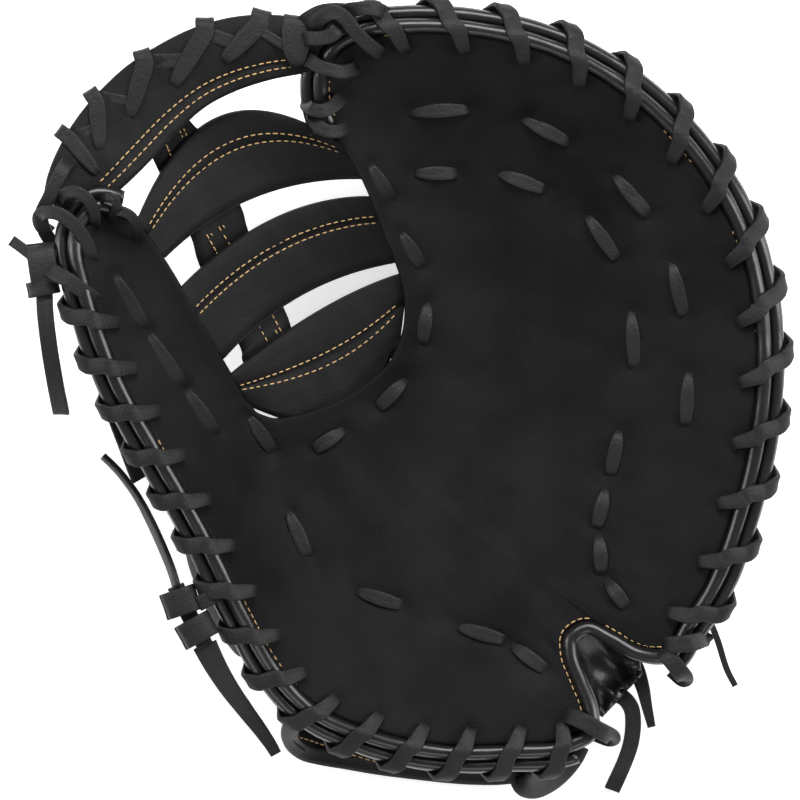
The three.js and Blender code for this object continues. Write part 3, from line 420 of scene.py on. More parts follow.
FINGERS_END = KNOT_OF["notch right"]
HEEL_START = KNOT_OF["heel corner low"]
THUMB_START = KNOT_OF["thumb base"]
GAP = 0.35
ROLL_RADIUS = 2.75
ROLL_TILT = 0.63
rear_out = (2 * ROLL_RADIUS + GAP) * cos(ROLL_TILT)
rear_drop = (2 * ROLL_RADIUS + GAP) * sin(ROLL_TILT)
edge_inset = ROLL_RADIUS + GAP
HOLE_INSET = 5.2


def rim(t):
    """The middle of the front roll at t, and the directions out from it and along it."""
    here = np.stack([palm["rim_x"](t), palm["rim_y"](t), palm["rim_z"](t)], -1)
    step = 0.5
    along = np.stack([palm["rim_x"](t + step) - palm["rim_x"](t - step),
                      palm["rim_y"](t + step) - palm["rim_y"](t - step),
                      np.zeros_like(t * 1.0)], -1)
    along = unit(along)
    out = np.stack([-along[..., 1], along[..., 0], along[..., 2]], -1)
    return here, out, along


def plan(t, v, edge_out):
    """Where share v of the section at t lies, from the web to the leather's outer edge."""
    here, out, _ = rim(t)
    end = here[..., :2] + out[..., :2] * edge_out
    start = np.stack([palm["web_x"](t), palm["web_y"](t)], -1)
    return start + (end - start) * v[..., None]


def palm_top(t, v):
    """The height of the palm's face at share v of the section at t, as in the model."""
    rise = (palm["rim_z"](t) - palm["web_z"](t)) * v * v
    return palm["web_z"](t) + rise - palm["dish"](t) * 6.75 * v * (1 - v) ** 2


def palm_bottom(t, v):
    return palm_top(t, v) - PALM_WALL - PALM_PAD * np.sin(pi * v) ** 2


def section_length(t, edge_out):
    """The length in plan of the section at t, from the web to the leather's outer edge."""
    return np.linalg.norm(plan(t, np.ones_like(t), edge_out) - plan(t, np.zeros_like(t), 0), axis=-1)


def near(points, at, width):
    """1 at a place in plan and fading to 0 around it."""
    return np.exp(-((points[..., 0] - at[0]) ** 2 + (points[..., 1] - at[1]) ** 2) / width ** 2)


def near_line(points, start, end, width):
    """1 on a straight line in plan and fading to 0 beside it and past its ends."""
    along = end - start
    share = np.clip(((points - start) @ along) / (along @ along), 0, 1)
    nearest = start + share[..., None] * along
    return np.exp(-((points - nearest) ** 2).sum(-1) / width ** 2) * (0.35 + 0.65 * np.sin(pi * share))


def wander(points, size, seed):
    """Slow, even unevenness from a few crossed waves, between -1 and 1."""
    random = np.random.default_rng(seed)
    total = 0
    for _ in range(7):
        angle = random.uniform(0, pi)
        phase = random.uniform(0, 2 * pi)
        wave = 2 * pi / (size * random.uniform(0.6, 1.7))
        total = total + np.sin((points[..., 0] * cos(angle) + points[..., 1] * sin(angle)) * wave + phase)
    return total / 4


rim_turns = {
    # name: first place, last place, number of turns, each with its hole in the palm
    "rim_lace_fingers": (KNOT_OF["notch shoulder"], KNOT_OF["index tip right"], 14),
    "corner_lace": (KNOT_OF["index tip left"] - LACE_WIDTH, KNOT_OF["web corner side"], 2),
    "rim_lace_thumb": (KNOT_OF["heel right"], KNOT_OF["thumb tip low"], 15),
    "thumb_top_lace": (KNOT_OF["thumb tip left"], KNOT_OF["thumb corner end"] - LACE_WIDTH, 3),
}
pocket_strips = [(in_shares(x0, y0), in_shares(x1, y1))
                 for strips in POCKET_LACES.values() for x0, y0, x1, y1 in strips]
rim_holes = []
for first, last, count in rim_turns.values():
    turns = np.linspace(first, last, count)
    here, out, _ = rim(turns)
    rim_holes += [tuple(p) for p in (here - out * (edge_inset + HOLE_INSET))[:, :2]]


HOLE_DIP = 1.5  # how far the leather is drawn down at a hole in the pocket
HOLE_DRAW = 0.5  # and in the wider place around it
RIM_HOLE_DIP = 1.0
STRIP_DIP = 0.7  # under a strip of lace between two holes


def relief(points):
    """How far the palm's face stands above the model's plain one, in millimetres."""
    rise = 0.35 * wander(points, 42, 3) + 0.16 * wander(points, 17, 8)
    for strip in pocket_strips:
        for hole in strip:
            rise = rise - HOLE_DIP * near(points, hole, 3.0) - HOLE_DRAW * near(points, hole, 8)
    for hole in rim_holes:
        rise = rise - RIM_HOLE_DIP * near(points, hole, 3.2)
    for start, end in pocket_strips:
        rise = rise - STRIP_DIP * near_line(points, start, end, 4.6)
    for x0, y0, x1, y1, depth, width in CREASES:
        rise = rise - depth * near_line(points, in_shares(x0, y0), in_shares(x1, y1), width)
    return rise


def edge_round(distance, radius):
    """How far a rounded edge of that radius falls at that distance in from the edge."""
    inside = np.clip(1 - distance / radius, 0, 1)
    return radius * (1 - np.sqrt(1 - inside ** 2))


EVEN_REACH = 22  # sections of the palm that are evened together at the web


def even_out(heights, shares):
    """Heights evened along the rim, the more so the nearer they are to the web."""
    smooth = heights.copy()
    rows = np.arange(len(heights))
    for j, share in enumerate(shares):
        reach = EVEN_REACH * (1 - share)
        if reach < 0.5:
            continue
        offsets = np.arange(-60, 61)
        weights = np.exp(-((offsets / reach) ** 2))
        picked = np.clip(rows[:, None] + offsets, 0, len(heights) - 1)
        smooth[:, j] = (heights[picked, j] * weights).sum(1) / weights.sum()
    return smooth


steerhide = leather("matte_steerhide", "#111113", "#1d1d1f", 0.66, 0.95, 0.14, 0.12)
UNDER_ROLL = 1.0  # how far the palm's edge goes in under the front roll
palm_edge_out = UNDER_ROLL - edge_inset
t_steps = np.linspace(0, RIM_END, 560)
v_steps = crowded(64)
t_grid, v_grid = np.meshgrid(t_steps, v_steps, indexing="ij")
palm_plan = plan(t_grid, v_grid, palm_edge_out)
lengths = section_length(t_grid, palm_edge_out)
edge_drop = edge_round(v_grid * lengths, 1.6) + edge_round((1 - v_grid) * lengths, 2.6)
fade = np.clip(np.minimum(v_grid, 1 - v_grid) * lengths / 4, 0, 1)
smooth_top = even_out(palm_top(t_grid, v_grid), v_steps)
face = smooth_top + relief(palm_plan) * fade - edge_drop
under = palm_bottom(t_grid, v_grid) + edge_drop * 0.6
top_rows = np.dstack([palm_plan, face])
low_rows = np.dstack([palm_plan, under])[:, ::-1]
palm_piece = show("palm_leather", [np.concatenate([top_rows, low_rows], 1)], steerhide, "strip")
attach(palm_piece, "root")
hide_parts("palm")

# Back: thinner steerhide, one piece over the fingers and one over the thumb, stretched into
# stalls for the hand and drawn in between the fingers. It is flat where the mitt lies on it.
BACK_WALL = 2.8
BAR_THICK = 6.2
BAR_TUCK = 3.4
WEB_GAP = 0.75
STALL_SEAMS = ["index tip right", "middle tip right", "little tip"]
BULGE = 17  # how far the thumb's stall bulges out past its section
BULGE_AT = KNOT_OF["thumb side"]
BULGE_ALONG = 62
BULGE_IN = 16  # how far in from the rim it bulges most
BULGE_ACROSS = 9
back_edge_out = rear_out - edge_inset
back_hide = leather("matte_back_steerhide", "#131215", "#1d1c1f", 0.6, 1.0, 0.15, 0.14)


def back_bottom(t, v):
    """The height of the back leather's outer face, lowest in the stalls, flat on the floor."""
    length = section_length(t, back_edge_out)
    palm_length = section_length(t, -edge_inset)
    palm_v = np.clip(v * length / palm_length, np.minimum(BAR_TUCK / palm_length, 1), 1)
    from_rim = (1 - v) * length
    from_web = v * length
    rim_round = 1 - np.exp(-((from_rim / (0.058 * MITT_WIDTH)) ** 2))
    web_round = 1 - np.exp(-((from_web / (0.04 * MITT_WIDTH)) ** 2))
    seam = sum(np.exp(-(((t - KNOT_OF[name]) / 8) ** 2)) for name in STALL_SEAMS)
    depth = palm["stall"](t) * rim_round * web_round * (1 - 0.3 * seam)
    bar_end = 2.2 * BAR_TUCK
    beyond = np.clip((from_web - bar_end) / np.maximum(length - bar_end, BAR_TUCK), 0, 1)
    seat = BAR_THICK + 2 * WEB_GAP
    seat = seat + (GAP - seat) * beyond * beyond * (3 - 2 * beyond)
    return np.maximum(palm_bottom(t, palm_v) - seat - depth - BACK_WALL, 0)


for name, first, last in (("back_fingers", 0, FINGERS_END), ("back_thumb", THUMB_START, RIM_END)):
    steps = np.linspace(first, last, int((last - first) / 2.4))
    t_grid, v_grid = np.meshgrid(steps, crowded(48), indexing="ij")
    back_plan = plan(t_grid, v_grid, back_edge_out)
    low = back_bottom(t_grid, v_grid)
    puff = np.clip(low / 6, 0, 1) * 0.5 * (wander(back_plan, 30, 5) + 0.5 * wander(back_plan, 11, 6))
    low = low + np.maximum(puff, -low)
    high = back_bottom(t_grid, v_grid) + BACK_WALL
    from_rim = (1 - v_grid) * section_length(t_grid, back_edge_out)
    bulge = BULGE * np.exp(-((t_grid - BULGE_AT) / BULGE_ALONG) ** 2)
    bulge = bulge * np.exp(-((from_rim - BULGE_IN) / BULGE_ACROSS) ** 2)
    back_plan = back_plan + rim(t_grid)[1][..., :2] * (bulge * (name == "back_thumb"))[..., None]
    rows = np.concatenate([np.dstack([back_plan, high]), np.dstack([back_plan, low])[:, ::-1]], 1)
    back = show(f"{name}_leather", [rows], back_hide, "strip")
    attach(back, "root")
    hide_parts(name)

# Rim rolls: two cords bound in glossy leather, one on the palm's rim and one lower down on the
# back's. One more goes round the heel notch. The lace pinches them at every turn.
binding = leather("glossy_binding_leather", "#121112", "#1c1a1b", 0.3, 1.6, 0.04, 0.5, coat=0.3)
all_turns = np.concatenate([np.linspace(*turns) for turns in rim_turns.values()])
ROLL_PINCH = 0.06  # how much a turn of lace narrows the roll, as a share


def roll_rows(first, last, out, drop):
    """Rings of a roll beside the rim, a little uneven and pinched under the lace."""
    steps = np.linspace(first, last, int((last - first) / 1.3))
    here, outward, _ = rim(steps)
    pinch = sum(np.exp(-(((steps - t - 6) / 4.5) ** 2)) for t in all_turns)
    uneven = 0.025 * np.sin(steps / 7.3) + 0.02 * np.sin(steps / 3.1 + 1)
    girth = ROLL_RADIUS * (1 + uneven - ROLL_PINCH * pinch)
    turn = np.arange(18) / 18 * 2 * pi
    across = out + np.outer(girth, np.cos(turn))
    up = np.outer(girth, np.sin(turn)) - drop
    rows = here[:, None] + outward[:, None] * across[..., None]
    rows[..., 2] += up
    return rows


rolls = {
    # name: first place, last place, out from the front roll, drop below it
    "front_roll_fingers": (0, FINGERS_END - GAP, 0, 0),
    "notch_binding": (FINGERS_END + GAP, HEEL_START - GAP, 0, 0),
    "front_roll_thumb": (HEEL_START + GAP, RIM_END, 0, 0),
    "rear_roll_fingers": (0, FINGERS_END - GAP, rear_out, rear_drop),
    "rear_roll_thumb": (KNOT_OF["heel right"], RIM_END, rear_out, rear_drop),
}
for name, (first, last, out, drop) in rolls.items():
    rows = roll_rows(first, last, out, drop)
    roll = show(f"{name}_binding", [rows], binding, "round")
    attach(roll, "root")
    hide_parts(name)

# Rim lacing: one flat rawhide lace for each stretch of rim. It comes up through a hole in the
# palm, crosses both rolls at a slant and goes back through the back leather to the next hole.


def side_at(t, angle, tilt, lean):
    """The width direction of a lace that crosses a roll at an angle and leans along it."""
    _, out, along = rim(t)
    swing = -sin(tilt) * lean
    side = along * cos(tilt) + out * (sin(angle) * swing)
    side[..., 2] = -cos(angle) * swing
    return side


def section_share(t, out, edge_out):
    """The share of a section that lies that far out from the front roll."""
    return 1 + (out - edge_out) / section_length(t, edge_out)


TURN_ARC = [
    # share of the way to the next turn, front or rear roll, angle round it, distance off it
    (0.13, 0, 2.1, 0.3), (0.2, 0, 1.6, 0), (0.28, 0, 1.15, 0), (0.37, 1, 1.15, 0.1), (0.43, 1, 0.7, 0.3),
    (0.5, 1, 0.3, 0.9), (0.53, 1, 0.12, 1.3), (0.555, 1, -0.1, 1.3), (0.6, 1, -0.5, 0.7),
    (0.68, 1, -1.1, 0.2), (0.75, 1, -1.6, 0.1),
]


def rim_lace(turns):
    """The places, width directions, widths and thicknesses along one lace round the rolls."""
    pitch = turns[1] - turns[0]
    lean = np.sign(pitch)
    reach = ROLL_RADIUS + LACE_THICK / 2 + 0.1
    rows = []
    for t in map(np.array, turns):
        has_back = t < FINGERS_END or t > THUMB_START
        low_out = -edge_inset - (0 if has_back else LACE_THICK)
        here, out, _ = rim(t)
        low_edge, low_side = (back_edge_out, back_bottom) if has_back else (-edge_inset, palm_bottom)
        low_z = float(low_side(t, section_share(t, low_out, low_edge)))
        top_z = float(palm_top(t, section_share(t, -edge_inset - HOLE_INSET, -edge_inset)))
        low_at = here + out * low_out
        low_at[2] = low_z - LACE_THICK / 2
        top_at = here - out * (edge_inset + HOLE_INSET)
        top_at[2] = top_z + LACE_THICK * 0.2
        rows.append((low_at, side_at(t, pi / 2, -0.2, lean), 3.6, LACE_THICK))
        rows.append((top_at, side_at(t, pi / 2, 0.4, lean), 4.2, LACE_THICK))
        for share, rear, angle, off in TURN_ARC:
            at_t = np.array(t + share * pitch)
            spot, outward, _ = rim(at_t)
            spot = spot + outward * (rear * rear_out + (reach + off) * cos(angle))
            spot[2] += (reach + off) * sin(angle) - rear * rear_drop
            tilt = 0.66 - 0.3 * share
            rows.append((spot, side_at(at_t, angle, tilt, lean), LACE_WIDTH, LACE_THICK))
    return [np.array(part) for part in zip(*rows)]


for name in ("rim_lace_fingers", "rim_lace_thumb"):
    points, sides, widths, thicks = rim_lace(np.linspace(*rim_turns[name]))
    rings, _ = lace_rings(points, sides, widths, thicks, step=1.2)
    lace = show(f"{name}_rawhide", [rings], rawhide, "round")
    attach(lace, "root")
    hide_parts(name)

# Pocket lacing: the same rawhide, run in and out of the palm in rows. Each strip bulges up
# between its two holes and is drawn down hard at both ends.


def height_over(surface, x, y):
    """The height of a surface, given as a grid of points, over a place in plan."""
    spots = surface.reshape(-1, 3)
    distance = (spots[:, 0] - x) ** 2 + (spots[:, 1] - y) ** 2
    nearest = np.argpartition(distance, 4)[:4]
    weight = 1 / (distance[nearest] + 1e-6)
    return float((spots[nearest, 2] * weight).sum() / weight.sum())


STRIP_ARC = [
    # share of the way from hole to hole, height over the palm, width
    (0.05, -5.0, 1.6), (0.0, -1.6, 1.8), (0.1, 0.5, 3.2), (0.3, 0.9, 4.7), (0.55, 1.05, 5.3),
    (0.8, 0.9, 4.8), (0.93, 0.5, 4.2), (1.0, -1.6, 3.4), (0.95, -5.0, 3.0),
]
for name, strips in POCKET_LACES.items():
    points, sides, widths = [], [], []
    for x0, y0, x1, y1 in strips:
        start, end = in_shares(x0, y0), in_shares(x1, y1)
        side = np.array([start[1] - end[1], end[0] - start[0], 0])
        side = side / np.linalg.norm(side)
        for share, lift, width in STRIP_ARC:
            x, y = start + (end - start) * share
            points.append((x, y, height_over(top_rows, x, y) + lift))
            sides.append(side)
            widths.append(width)
    rings, _ = lace_rings(points, sides, widths, np.full(len(points), LACE_THICK), step=0.9)
    lace = show(f"{name}_rawhide", [rings], rawhide, "round")
    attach(lace, "root")
    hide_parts(name)

# Web: four bars of steerhide folded over padding and stitched, with a strap behind them. The
# top one carries the lace that ties the thumb to the fingers, the others go in under the palm.
WEB = [
    # name, thumbX, thumbY, thumbZ, fingerX, fingerY, fingerZ, bow, sag
    ("top bar top", -0.52, 0.334, 1.02, -0.176, 0.512, 0.97, 0.055, 0.03),
    ("top bar low", -0.437, 0.293, 0.97, -0.192, 0.436, 0.9, 0.04, 0.05),
    ("second bar top", -0.41, 0.24, None, -0.125, 0.348, None, 0.063, 0.09),
    ("second bar low", -0.371, 0.183, None, -0.085, 0.292, None, 0.032, 0.11),
    ("third bar top", -0.349, 0.144, None, -0.076, 0.269, None, 0.024, 0.11),
    ("third bar low", -0.286, 0.045, None, -0.038, 0.177, None, 0.024, 0.09),
    ("fourth bar top", -0.276, 0.026, None, -0.031, 0.163, None, 0.01, 0.08),
    ("fourth bar low", -0.244, -0.024, None, -0.044, 0.045, None, -0.04, 0.03),
]
WEB_ROW = {row[0]: i for i, row in enumerate(WEB)}


def under_palm(x, y):
    """The height at which a bar's end goes in under the palm near a place in plan."""
    t = np.arange(0, RIM_END, 3.0)
    miss = np.hypot(palm["web_x"](t) - x, palm["web_y"](t) - y)
    t = t[[np.argmin(miss)]]
    tuck = BAR_TUCK / section_length(t, -edge_inset)
    return float(min(palm_bottom(t, 0 * t)[0], palm_bottom(t, tuck)[0]) - WEB_GAP)


def web_end(side):
    """Curves through one end of every row of the web: x, y and height."""
    x, y = column(WEB, side, MITT_WIDTH), column(WEB, side + 1, MITT_LENGTH)
    z = [under_palm(x[i], y[i]) if row[side + 2] is None else row[side + 2] * MITT_HEIGHT
         for i, row in enumerate(WEB)]
    return [curve(range(len(WEB)), values) for values in (x, y, z)]


thumb_end, finger_end = web_end(1), web_end(4)
web_bow = curve(range(len(WEB)), column(WEB, 7, 4 * MITT_LENGTH))
web_sag = curve(range(len(WEB)), column(WEB, 8, 4 * MITT_HEIGHT))


def web_point(q, s):
    """The place on the web at row q and at share s of the way from the thumb to the finger."""
    q, s = np.broadcast_arrays(np.asarray(q, float), np.asarray(s, float))
    inside = np.clip(s, 0, 1)
    arch = inside * (1 - inside)
    x0, y0, z0 = (end(q) for end in thumb_end)
    x1, y1, z1 = (end(q) for end in finger_end)
    dx, dy = x1 - x0, y1 - y0
    size = np.hypot(dx, dy)
    return np.stack([
        x0 + dx * s - dy / size * web_bow(q) * arch,
        y0 + dy * s + dx / size * web_bow(q) * arch,
        z0 + (z1 - z0) * inside - web_sag(q) * arch], -1)


def bar_profile(f, groove):
    """How far a bar's face lies below its highest line, at share f across it. Its upper part is a
    tube, a groove holds the stitches, and the rest is flatter."""
    tube = 1 - np.sqrt(np.clip(1 - (np.abs(2 * f / groove - 1)) ** 2.4, 0, 1))
    past = (f - groove) / (1 - groove)
    flap = 0.34 + 0.3 * np.exp(-past / 0.12) + 0.66 * np.clip((past - 0.8) / 0.2, 0, 1) ** 2
    return BAR_THICK / 2 * np.where(f < groove, np.minimum(tube, 0.64 + 0.36 * (f < 0.12)), flap)


def bar_rows(upper, lower, groove):
    """Rings of a padded bar between two edge lines, finely wrinkled across."""
    f = np.linspace(0, 1, 56)
    edge = (1 - np.abs(2 * f - 1) ** 3.2) ** 0.5
    top = -bar_profile(f, groove)
    rows = upper[:, None] + (lower - upper)[:, None] * f[None, :, None]
    wrinkle = 0.13 * wander(rows[..., :2], 5, 11) + 0.24 * wander(rows[..., :2], 14, 12)
    face_rows = rows.copy()
    face_rows[..., 2] += top + wrinkle * edge
    back_rows = rows[:, ::-2].copy()
    back_rows[..., 2] -= BAR_THICK / 2 * (1 + edge[::-2])
    return np.concatenate([face_rows, back_rows], 1)


TOP_BAR_SAG = 3.5


def photo_line(spots, heights, count):
    """A smooth line through pixels of the picture, with heights spread evenly along it."""
    points = np.array([in_plan(x, y) for x, y in spots])
    line = smooth_line(np.column_stack([points, np.zeros(len(points))]), 1.0)
    length = np.concatenate([[0], np.cumsum(np.linalg.norm(np.diff(line, axis=0), axis=1))])
    share = np.linspace(0, 1, count)
    flat = [np.interp(share * length[-1], length, line[:, i]) for i in (0, 1)]
    sag = -4 * TOP_BAR_SAG * share * (1 - share)
    return np.column_stack([*flat, heights[0] + (heights[1] - heights[0]) * share + sag])


# The top bar's two edges in pixels of the picture, from the thumb to the index finger
TOP_BAR_UPPER = [(44, 200), (49, 175), (60, 148), (78, 118), (100, 92), (128, 66), (162, 44), (198, 27),
                 (238, 17), (280, 16), (318, 24)]
TOP_BAR_LOWER = [(72, 214), (88, 208), (108, 200), (128, 184), (152, 160), (178, 132), (205, 108),
                 (235, 92), (268, 81), (298, 75), (320, 72)]
web_hide = leather("web_steerhide", "#151516", "#202021", 0.6, 0.95, 0.14, 0.16)
bars = {
    # name: upper row, lower row, tuck under the palm as a share of the bar, place of the groove,
    # how far the padding pushes the upper edge and the lower edge out
    "web_bar_2": ("second bar top", "second bar low", 0.04, 0.43, 7.5, 0),
    "web_bar_3": ("third bar top", "third bar low", 0.05, 0.38, 2, 0),
    "web_bar_4": ("fourth bar top", "fourth bar low", 0.06, 0.42, 1, 6),
}
TOP_GROOVE = 0.8
bar_edges = {"web_top_bar": (photo_line(TOP_BAR_UPPER, (94, 90), 150),
                             photo_line(TOP_BAR_LOWER, (91, 84), 150), TOP_GROOVE)}
for name, (upper, lower, tuck, groove, push_up, push_down) in bars.items():
    s = np.linspace(-tuck, 1 + tuck, 120)
    upper_edge, lower_edge = web_point(WEB_ROW[upper], s), web_point(WEB_ROW[lower], s)
    across = unit(upper_edge - lower_edge) * (np.sin(pi * np.clip(s, 0, 1) ** 1.6) ** 0.7)[:, None]
    bar_edges[name] = (upper_edge + push_up * across, lower_edge - push_down * across, groove)
for name, (upper, lower, groove) in bar_edges.items():
    bar = show(f"{name}_leather", [bar_rows(upper, lower, groove)], web_hide, "round")
    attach(bar, "root")
    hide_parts(name)

POST_THICK = 2.5
# The post runs from the first row of the web to the last, and a little short of both
q_first, q_last = WEB_ROW["top bar top"] + 0.8, WEB_ROW["fourth bar low"] - 0.4
q_steps = np.linspace(q_first, q_last, 90)
way = (q_steps - q_first) / (q_last - q_first)
post_rows = []
edge_low, edge_high = 0.2 - 0.14 * way, 0.45 - 0.08 * way  # in shares of a bar, from the thumb
for f, depth in two_faces((0, 0.25, 0.5, 0.75, 1), POST_THICK):
    line = web_point(q_steps, edge_low + (edge_high - edge_low) * f)
    line[:, 2] -= BAR_THICK + GAP + depth
    post_rows.append(line)
post = show("web_post_leather", [np.stack(post_rows, 1)], web_hide, "strip")
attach(post, "root")
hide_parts("web_post")

# Web lacing: rawhide wound round the top bar through holes along its middle, which ties the
# web to the thumb and to the index finger. Each turn folds over the bar's upper edge.
TOP_WRAPS = [
    # hole x, hole y, fold x, fold y in pixels of the picture, width in millimetres
    (97, 172, 61, 132, 5.4), (101, 148, 91, 93, 5.8), (131, 116, 142, 53, 6.4), (175, 84, 205, 21, 6.8),
    (226, 60, 262, 13, 7.2), (297, 64, 297, 19, 9.6),
]
TOP_CROSSINGS = [
    # under one turn's fold, under the next turn, width in millimetres
    (72, 138, 100, 128, 4.0), (97, 96, 134, 103, 3.8), (146, 62, 188, 62, 5.6), (206, 34, 238, 45, 5.2),
    (258, 30, 290, 50, 3.6),
]
FOLD_LENGTH = 13  # pixels of a turn that lie straight before it folds over the edge
top_upper, top_lower, _ = bar_edges["web_top_bar"]
top_middle = (top_upper + top_lower) / 2
top_bodies = []
for hole_x, hole_y, fold_x, fold_y, width in TOP_WRAPS:
    hole = np.array([hole_x, hole_y], float)
    fold = np.array([fold_x, fold_y], float)
    nearest = np.argmin(((top_upper[:, :2] - in_plan(fold_x, fold_y)) ** 2).sum(1))
    nearest = np.clip(nearest, 1, len(top_upper) - 2)
    along = unit(top_upper[nearest + 1, :2] - top_upper[nearest - 1, :2])
    out = unit(np.array([-along[1], -along[0]]) + 0.7 * unit(fold - hole))
    level = height_over(top_middle, *in_plan(hole_x, hole_y))
    bend = fold - FOLD_LENGTH * out
    steps = [
        # place in pixels, height over the bar's face, share of the full width
        (hole - 3 * out, -5, 0.5), (hole, 0.1, 0.55), (hole + 0.25 * (bend - hole), 0.95, 0.85),
        (hole + 0.65 * (bend - hole), 1.1, 1), (bend, 1.0, 1), (fold - 3 * out, 0.6, 1),
        (fold, -0.9, 1), (fold, -3.4, 1), (fold - 3 * out, -6.2, 1), (fold - 14 * out, -7.6, 1),
        (fold - 26 * out, -7.6, 0.8),
    ]
    route = [(*spot, level + lift) for spot, lift, _ in steps]
    top_bodies.append(laid(route, [width * share for _, _, share in steps], step=0.8))
for start_x, start_y, end_x, end_y, width in TOP_CROSSINGS:
    level = height_over(top_middle, *in_plan(end_x, end_y))
    steps = [(0, -2), (0.12, 0.0), (0.35, 0.5), (0.7, 0.5), (0.9, 0.0), (1.0, -2)]
    route = [(start_x + (end_x - start_x) * share, start_y + (end_y - start_y) * share, level + lift)
             for share, lift in steps]
    top_bodies.append(laid(route, width, step=0.8))
top_lace = show("web_top_lace_rawhide", top_bodies, rawhide, "round")
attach(top_lace, "root")
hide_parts("web_top_lace")

# Corner lacing: loops over the rolls that tie the top bar to the thumb and to the index finger.
# Each loop is drawn in pixels of the picture, with its height in millimetres.
THUMB_CORNER = [
    [(93, 264, 84), (92, 257, 90), (88, 244, 93.5), (78, 228, 97), (63, 216, 98.5), (49, 213, 97),
     (41, 217, 92), (42, 226, 86), (50, 232, 80)],
    [(95, 230, 84), (96, 222, 91), (95, 211, 95), (88, 199, 98.5), (77, 193, 99), (66, 195, 97),
     (61, 202, 92), (62, 210, 86)],
    [(110, 222, 84), (114, 216, 92), (118, 208, 96.5), (116, 200, 98), (108, 197, 97), (101, 200, 92),
     (98, 207, 86)],
    [(138, 240, 80), (139, 233, 88), (137, 224, 92.5), (131, 216, 95), (122, 212, 95), (114, 213, 91),
     (109, 217, 84)],
    [(74, 160, 88), (66, 168, 95), (58, 184, 96), (50, 200, 95), (43, 215, 92), (45, 230, 88),
     (53, 244, 84)],
]
FINGER_CORNER = [
    [(308, 60, 84), (310, 61, 88), (318, 67, 90), (330, 71, 91), (343, 73, 89), (353, 70, 84),
     (354, 69, 78)],
    [(310, 102, 76), (307, 106, 83), (312, 110, 89), (322, 112, 90.5), (332, 108, 88.5), (339, 101, 85),
     (341, 98, 79)],
    [(322, 116, 78), (314, 117, 84), (316, 124, 88), (325, 131, 89), (336, 132, 87), (345, 129, 83),
     (347, 128, 77)],
]
FINGER_TIE = [
    [(304, 42, 84), (308, 40, 91), (320, 40, 94), (332, 37, 95.5), (338, 30, 95), (340, 26, 92)],
    [(322, 36, 86), (316, 30, 91), (322, 20, 95), (334, 15, 97.5), (344, 19, 98), (354, 32, 96.5),
     (366, 44, 92.5), (378, 53, 87), (380, 54, 80)],
    [(336, 30, 84), (344, 14, 92), (356, 11, 95), (369, 10, 95), (380, 12, 92), (386, 15, 86)],
    [(314, 44, 84), (322, 31, 91), (331, 23, 93.5), (344, 20, 94), (354, 26, 90)],
    [(300, 26, 84), (308, 20, 90), (320, 14, 93.5), (332, 12, 94.5), (344, 12, 92)],
]
corners = {
    # name: loops, the width of each in millimetres
    "thumb_top_lace": (THUMB_CORNER, (5, 4.4, 3.2, 3.8, 5)),
    "corner_lace": (FINGER_CORNER, (5, 5, 5)),
}
for name, (loops, widths) in corners.items():
    bodies = [laid(loop, width, step=0.7) for loop, width in zip(loops, widths)]
    lace = show(f"{name}_rawhide", bodies, rawhide, "round")
    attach(lace, "root")
    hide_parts(name)
TIE_WIDTH = 5.2
tie_loops = [laid(loop, TIE_WIDTH, step=0.7) for loop in FINGER_TIE]
finger_tie = show("finger_tie_rawhide", tie_loops, rawhide, "round")
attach(finger_tie, "root")

# Knots: the web lace is tied off beside the thumb's tip, and the thumb strap's lace lower down.
# Each knot is two bands of lace drawn round its own tail, with a strand that crosses them.


def band_round(middle, axis, wide, reach, high):
    """A closed turn of lace round an axis in plan: middle in pixels and height, sizes in mm."""
    axis = unit(np.array([*axis, 0.0]))
    out = np.array([-axis[1], axis[0], 0])
    count = 40
    angle = np.linspace(-0.3, 2 * pi, count)
    square = [np.sign(wave) * np.abs(wave) ** 0.75 for wave in (np.cos(angle), np.sin(angle))]
    spot = np.array([*in_plan(middle[0], middle[1]), middle[2]])
    grow = 1 + 0.1 * (angle > 6)
    points = spot + np.outer(square[0] * reach * grow, out) + np.outer(square[1] * high * grow, [0, 0, 1])
    widths, thicks = np.full(count, wide), np.full(count, LACE_THICK)
    return lace_rings(points, np.tile(axis, (count, 1)), widths, thicks, 0.8)[0]


knots = {
    "web_knot": [band_round((44, 266, 89.5), (1, 0.15), 10.2, 6.8, 3.6),
                 band_round((45, 288, 89), (-0.2, 1), 5.6, 4.8, 3),
                 laid([(46, 300, 89.8), (45, 286, 89.5), (44, 270, 89.5), (40, 256, 89.5)], 6),
                 laid([(50, 267, 91), (36, 258, 92), (24, 249, 91), (13, 241, 90)], 4)],
    "thumb_knot": [band_round((181, 602, 66.5), (-0.35, 1), 9.6, 5.6, 3.6),
                   band_round((197, 630, 66.5), (-0.5, 0.9), 9.2, 5.8, 4.0),
                   laid([(175, 586, 66.5), (182, 602, 66.5), (196, 630, 66.5), (205, 647, 66.5)], 6.2),
                   laid([(198, 604, 69), (210, 598, 70.5), (222, 590, 69), (230, 584, 64)], 5.6)],
}
for name, bodies in knots.items():
    knot = show(f"{name}_rawhide", bodies, rawhide, "round")
    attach(knot, "root")
    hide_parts(name)
WEB_TIE = [(98, 304, 82), (96, 300, 90), (84, 291, 95), (70, 281, 98), (58, 274, 96), (48, 268, 92)]
web_tie = show("web_tie_rawhide", [laid(WEB_TIE, 5.6)], rawhide, "round")
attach(web_tie, "root")

